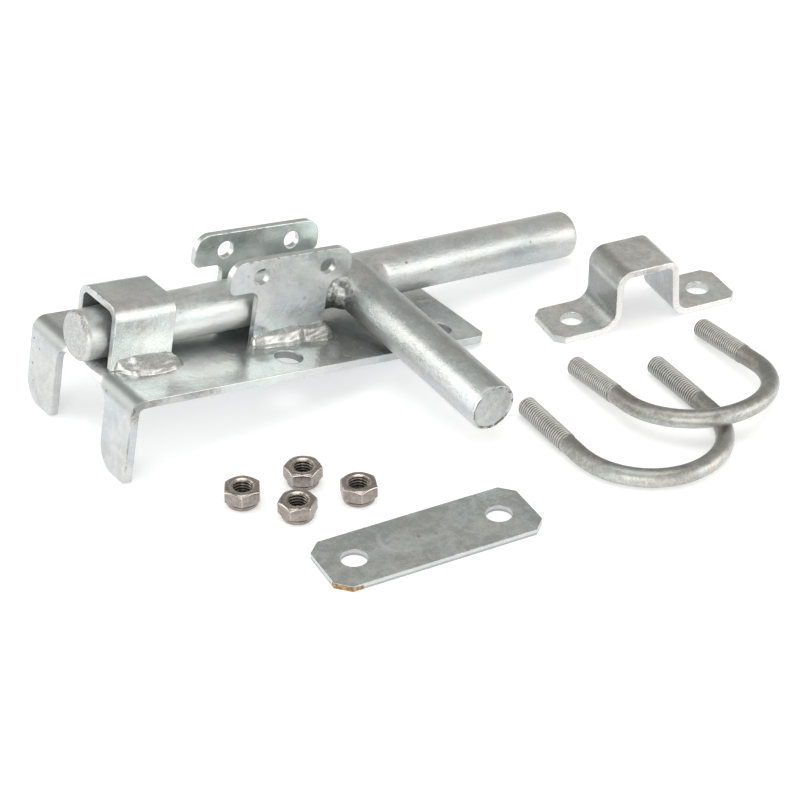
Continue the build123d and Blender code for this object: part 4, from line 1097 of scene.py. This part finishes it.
# ----------------------------------------------------------------- nuts
def nut(i):
    node = f"nut_{i}"
    m = mount(f"nut_{i}_thread")
    c = Vector(m["pos_m"])
    c = Vector((c.x, c.y, 0.0))
    lo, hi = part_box(node)
    # the turn of the hexagon: read from the node's own corners
    best, yaw = -1.0, 0.0
    for v in NODES[node].data.vertices:
        d = Vector((v.co.x - c.x, v.co.y - c.y))
        if d.length > best:
            best, yaw = d.length, math.atan2(d.y, d.x)
    seg = 144
    half = 6.5
    P, H, COL = 1.25, 8.0, 2.3
    tan30 = math.tan(math.radians(30))
    cols = []
    for j in range(seg):
        a = 2 * math.pi * j / seg
        w = (math.degrees(a) % 60.0) - 30.0
        rh = half / math.cos(math.radians(w))
        rh = min(rh, 7.42)
        top = []
        # from the seat of the insert, up the thread, over the top, down the flank and round the collar
        zt = H - (rh - 6.12) * tan30 if rh > 6.12 else H
        zb = COL + 0.15 + max(0.0, (rh - 6.3)) * tan30
        pts = []
        rows = int((H - 0.55 - COL) / 0.125)
        for k in range(rows + 1):
            z = COL + (H - 0.55 - COL) * k / rows
            f = (z / P - a / (2 * math.pi)) % 1.0
            t = abs(f - 0.5) * 2
            r = 3.42 + 0.62 * min(1.0, max(0.0, (t - 0.16) / 0.72))
            pts.append((r, z))
        pts += [(3.80, H - 0.50), (4.22, H - 0.26), (4.52, H - 0.06), (4.68, H), (5.3, H), (6.0, H)]
        pts += [(6.12, H - 0.02), (rh - 0.30, zt + 0.12), (rh - 0.14, zt + 0.01), (rh - 0.04, zt - 0.13), (rh, zt - 0.30)]
        pts += [(rh, zt - 0.30 + (zb - zt + 0.30) * k / 6) for k in range(1, 6)]
        pts += [(rh, zb + 0.05), (rh - 0.08, zb - 0.02), (6.30, COL + 0.12), (6.05, COL + 0.04), (5.80, COL + 0.0), (5.76, COL - 0.22), (5.92, COL - 0.42), (6.08, COL - 0.55)]
        pts += [(6.12, 1.4), (6.06, 0.9), (5.90, 0.5), (5.6, 0.22), (5.1, 0.05), (4.7, 0.0), (4.3, 0.02), (4.12, 0.15), (4.15, 0.34)]
        pts += [(4.82, 0.36), (4.84, 1.2), (4.84, COL - 0.02), (3.9, COL)]
        cols.append(pts)
    nv = len(cols[0])
    verts = []
    for j in range(seg):
        a = 2 * math.pi * j / seg + yaw
        for (r, z) in cols[j]:
            verts.append(c + Vector((math.cos(a) * r, math.sin(a) * r, z)) * MM)
    faces = grid_faces(seg, nv, close_u=True, close_v=True)
    ob = make(f"nut_{i}_body", verts, faces, 33.0)
    assign(ob, nut_material(i, c, yaw))
    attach(ob, node)
    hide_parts(node)
    NODES[f"nut_insert_{i}"].data.materials.clear()
    NODES[f"nut_insert_{i}"].data.materials.append(M["nylon"])
    return ob


for i in range(1, 5):
    nut(i)

# ----------------------------------------------------------------- floor, light, camera
def stage_material():
    T = Tree("studio_floor")
    a = T.noise(0.01, 2.0, 0.5, 0.0, None)
    T.link(T.mix(T.ramp(a, 0.3, 0.7), (0.745, 0.76, 0.78), (0.755, 0.77, 0.79)), T.bsdf.inputs["Base Color"])
    T.bsdf.inputs["Roughness"].default_value = 0.9
    T.bsdf.inputs["Specular IOR Level"].default_value = 0.0
    T.bsdf.inputs["Emission Color"].default_value = (1, 1, 1, 1)
    T.bsdf.inputs["Emission Strength"].default_value = 0.40
    return T.mat


fl = bpy.data.meshes.new("floor")
fl.from_pydata([(-6, -6, 0), (6, -6, 0), (6, 6, 0), (-6, 6, 0)], [], [(0, 1, 2, 3)])
floor = bpy.data.objects.new("floor", fl)
bpy.context.scene.collection.objects.link(floor)
assign(floor, stage_material())

CAM = Vector((-0.49674, -0.64616, 0.54107))
AIM = Vector((-0.02182, 0.01156, 0.0))
cam = bpy.data.cameras.new("camera")
cam.lens = 112.44
cam.sensor_width = 36.0
cam.clip_end = 50.0
cobj = bpy.data.objects.new("camera", cam)
cobj.location = CAM
cobj.rotation_euler = (AIM - CAM).to_track_quat("-Z", "Y").to_euler()
bpy.context.scene.collection.objects.link(cobj)
bpy.context.scene.camera = cobj

def area(name, pos, aim, size, power, colour=(1, 1, 1)):
    l = bpy.data.lights.new(name, "AREA")
    l.shape = "SQUARE"
    l.size = size
    l.energy = power
    l.color = colour
    o = bpy.data.objects.new(name, l)
    o.location = pos
    o.rotation_euler = (aim - pos).to_track_quat("-Z", "Y").to_euler()
    bpy.context.scene.collection.objects.link(o)
    return o


def toward(az, el):
    """A direction from its bearing (from +Y towards +X) and its height above the horizon, in degrees."""
    a, e = math.radians(az), math.radians(el)
    return Vector((math.sin(a) * math.cos(e), math.cos(a) * math.cos(e), math.sin(e)))


def panel(name, az, lo, hi, width, reach, level, colour=(1.0, 0.985, 0.96)):
    """A soft light standing at a bearing, its face towards the middle; level is its radiance."""
    c = toward(az, 0.0) * reach + Vector((0, 0, 0.5 * (lo + hi)))
    o = area(name, c, Vector((0, 0, 0.02)), 1.0, level * math.pi * width * (hi - lo), colour)
    o.data.shape = "RECTANGLE"
    o.data.size = width
    o.data.size_y = hi - lo
    return o


# one soft light straight overhead, and three standing round the front
area("overhead", Vector((-0.05, -0.05, 4.0)), Vector((-0.05, -0.05, 0.0)), 2.7, 2.25 * math.pi * 2.7 ** 2)
panel("right", 141.0, 0.02, 0.40, 0.70, 0.80, 1.50)
panel("left", -48.0, 0.04, 0.80, 0.72, 0.95, 1.18)
panel("left_front", 229.0, 0.05, 0.62, 0.70, 0.95, 2.50)


# the studio's walls: an even warm grey, a bright band low down, and a soft light to each side
world = bpy.data.worlds.new("world")
bpy.context.scene.world = world
world.use_nodes = True
wt = world.node_tree
wt.nodes.clear()
wo = wt.nodes.new("ShaderNodeOutputWorld")
bg = wt.nodes.new("ShaderNodeBackground")
bgc = wt.nodes.new("ShaderNodeBackground")
mixw = wt.nodes.new("ShaderNodeMixShader")
lp = wt.nodes.new("ShaderNodeLightPath")
tcw = wt.nodes.new("ShaderNodeTexCoord")


def wmath(kind, name, a, b):
    nd = wt.nodes.new(kind)
    nd.operation = name
    for k, v in enumerate((a, b)):
        if v is None:
            continue
        if isinstance(v, bpy.types.NodeSocket):
            wt.links.new(v, nd.inputs[k])
        else:
            nd.inputs[k].default_value = v
    return nd


def wramp(v, lo, hi, a=0.0, b=1.0):
    nd = wt.nodes.new("ShaderNodeMapRange")
    nd.interpolation_type = "SMOOTHSTEP"
    wt.links.new(v, nd.inputs["Value"])
    nd.inputs["From Min"].default_value = lo
    nd.inputs["From Max"].default_value = hi
    nd.inputs["To Min"].default_value = a
    nd.inputs["To Max"].default_value = b
    return nd.outputs["Result"]


def wmix(f, a, b):
    nd = wt.nodes.new("ShaderNodeMix")
    nd.data_type = "RGBA"
    wt.links.new(f, nd.inputs["Factor"])
    for k, v in ((6, a), (7, b)):
        if isinstance(v, tuple):
            nd.inputs[k].default_value = (*v, 1.0)
        else:
            wt.links.new(v, nd.inputs[k])
    return nd.outputs[2]


def lamp(az, el, inner, outer):
    d = wmath("ShaderNodeVectorMath", "DOT_PRODUCT", tcw.outputs["Generated"], tuple(toward(az, el)))
    return wramp(d.outputs["Value"], math.cos(math.radians(outer)), math.cos(math.radians(inner)))


BASE = (0.535, 0.517, 0.480)
sepw = wt.nodes.new("ShaderNodeSeparateXYZ")
wt.links.new(tcw.outputs["Generated"], sepw.inputs[0])
low = wramp(sepw.outputs[2], 0.0, 0.14, 1.0, 0.0)
sky = wmix(low, BASE, (0.88, 0.86, 0.83))
sky = wmix(lamp(-48.0, 28.0, 16.0, 34.0), sky, (1.20, 1.16, 1.11))
sky = wmix(lamp(141.0, 12.0, 16.0, 38.0), sky, (1.52, 1.47, 1.40))
wt.links.new(sky, bg.inputs["Color"])
bg.inputs["Strength"].default_value = 1.0
bgc.inputs["Color"].default_value = (1, 1, 1, 1)
bgc.inputs["Strength"].default_value = 1.0
wt.links.new(lp.outputs["Is Camera Ray"], mixw.inputs[0])
wt.links.new(bg.outputs[0], mixw.inputs[1])
wt.links.new(bgc.outputs[0], mixw.inputs[2])
wt.links.new(mixw.outputs[0], wo.inputs["Surface"])

bpy.context.scene.view_settings.view_transform = "Standard"
bpy.context.scene.view_settings.look = "None"
bpy.context.scene.view_settings.exposure = 0.0
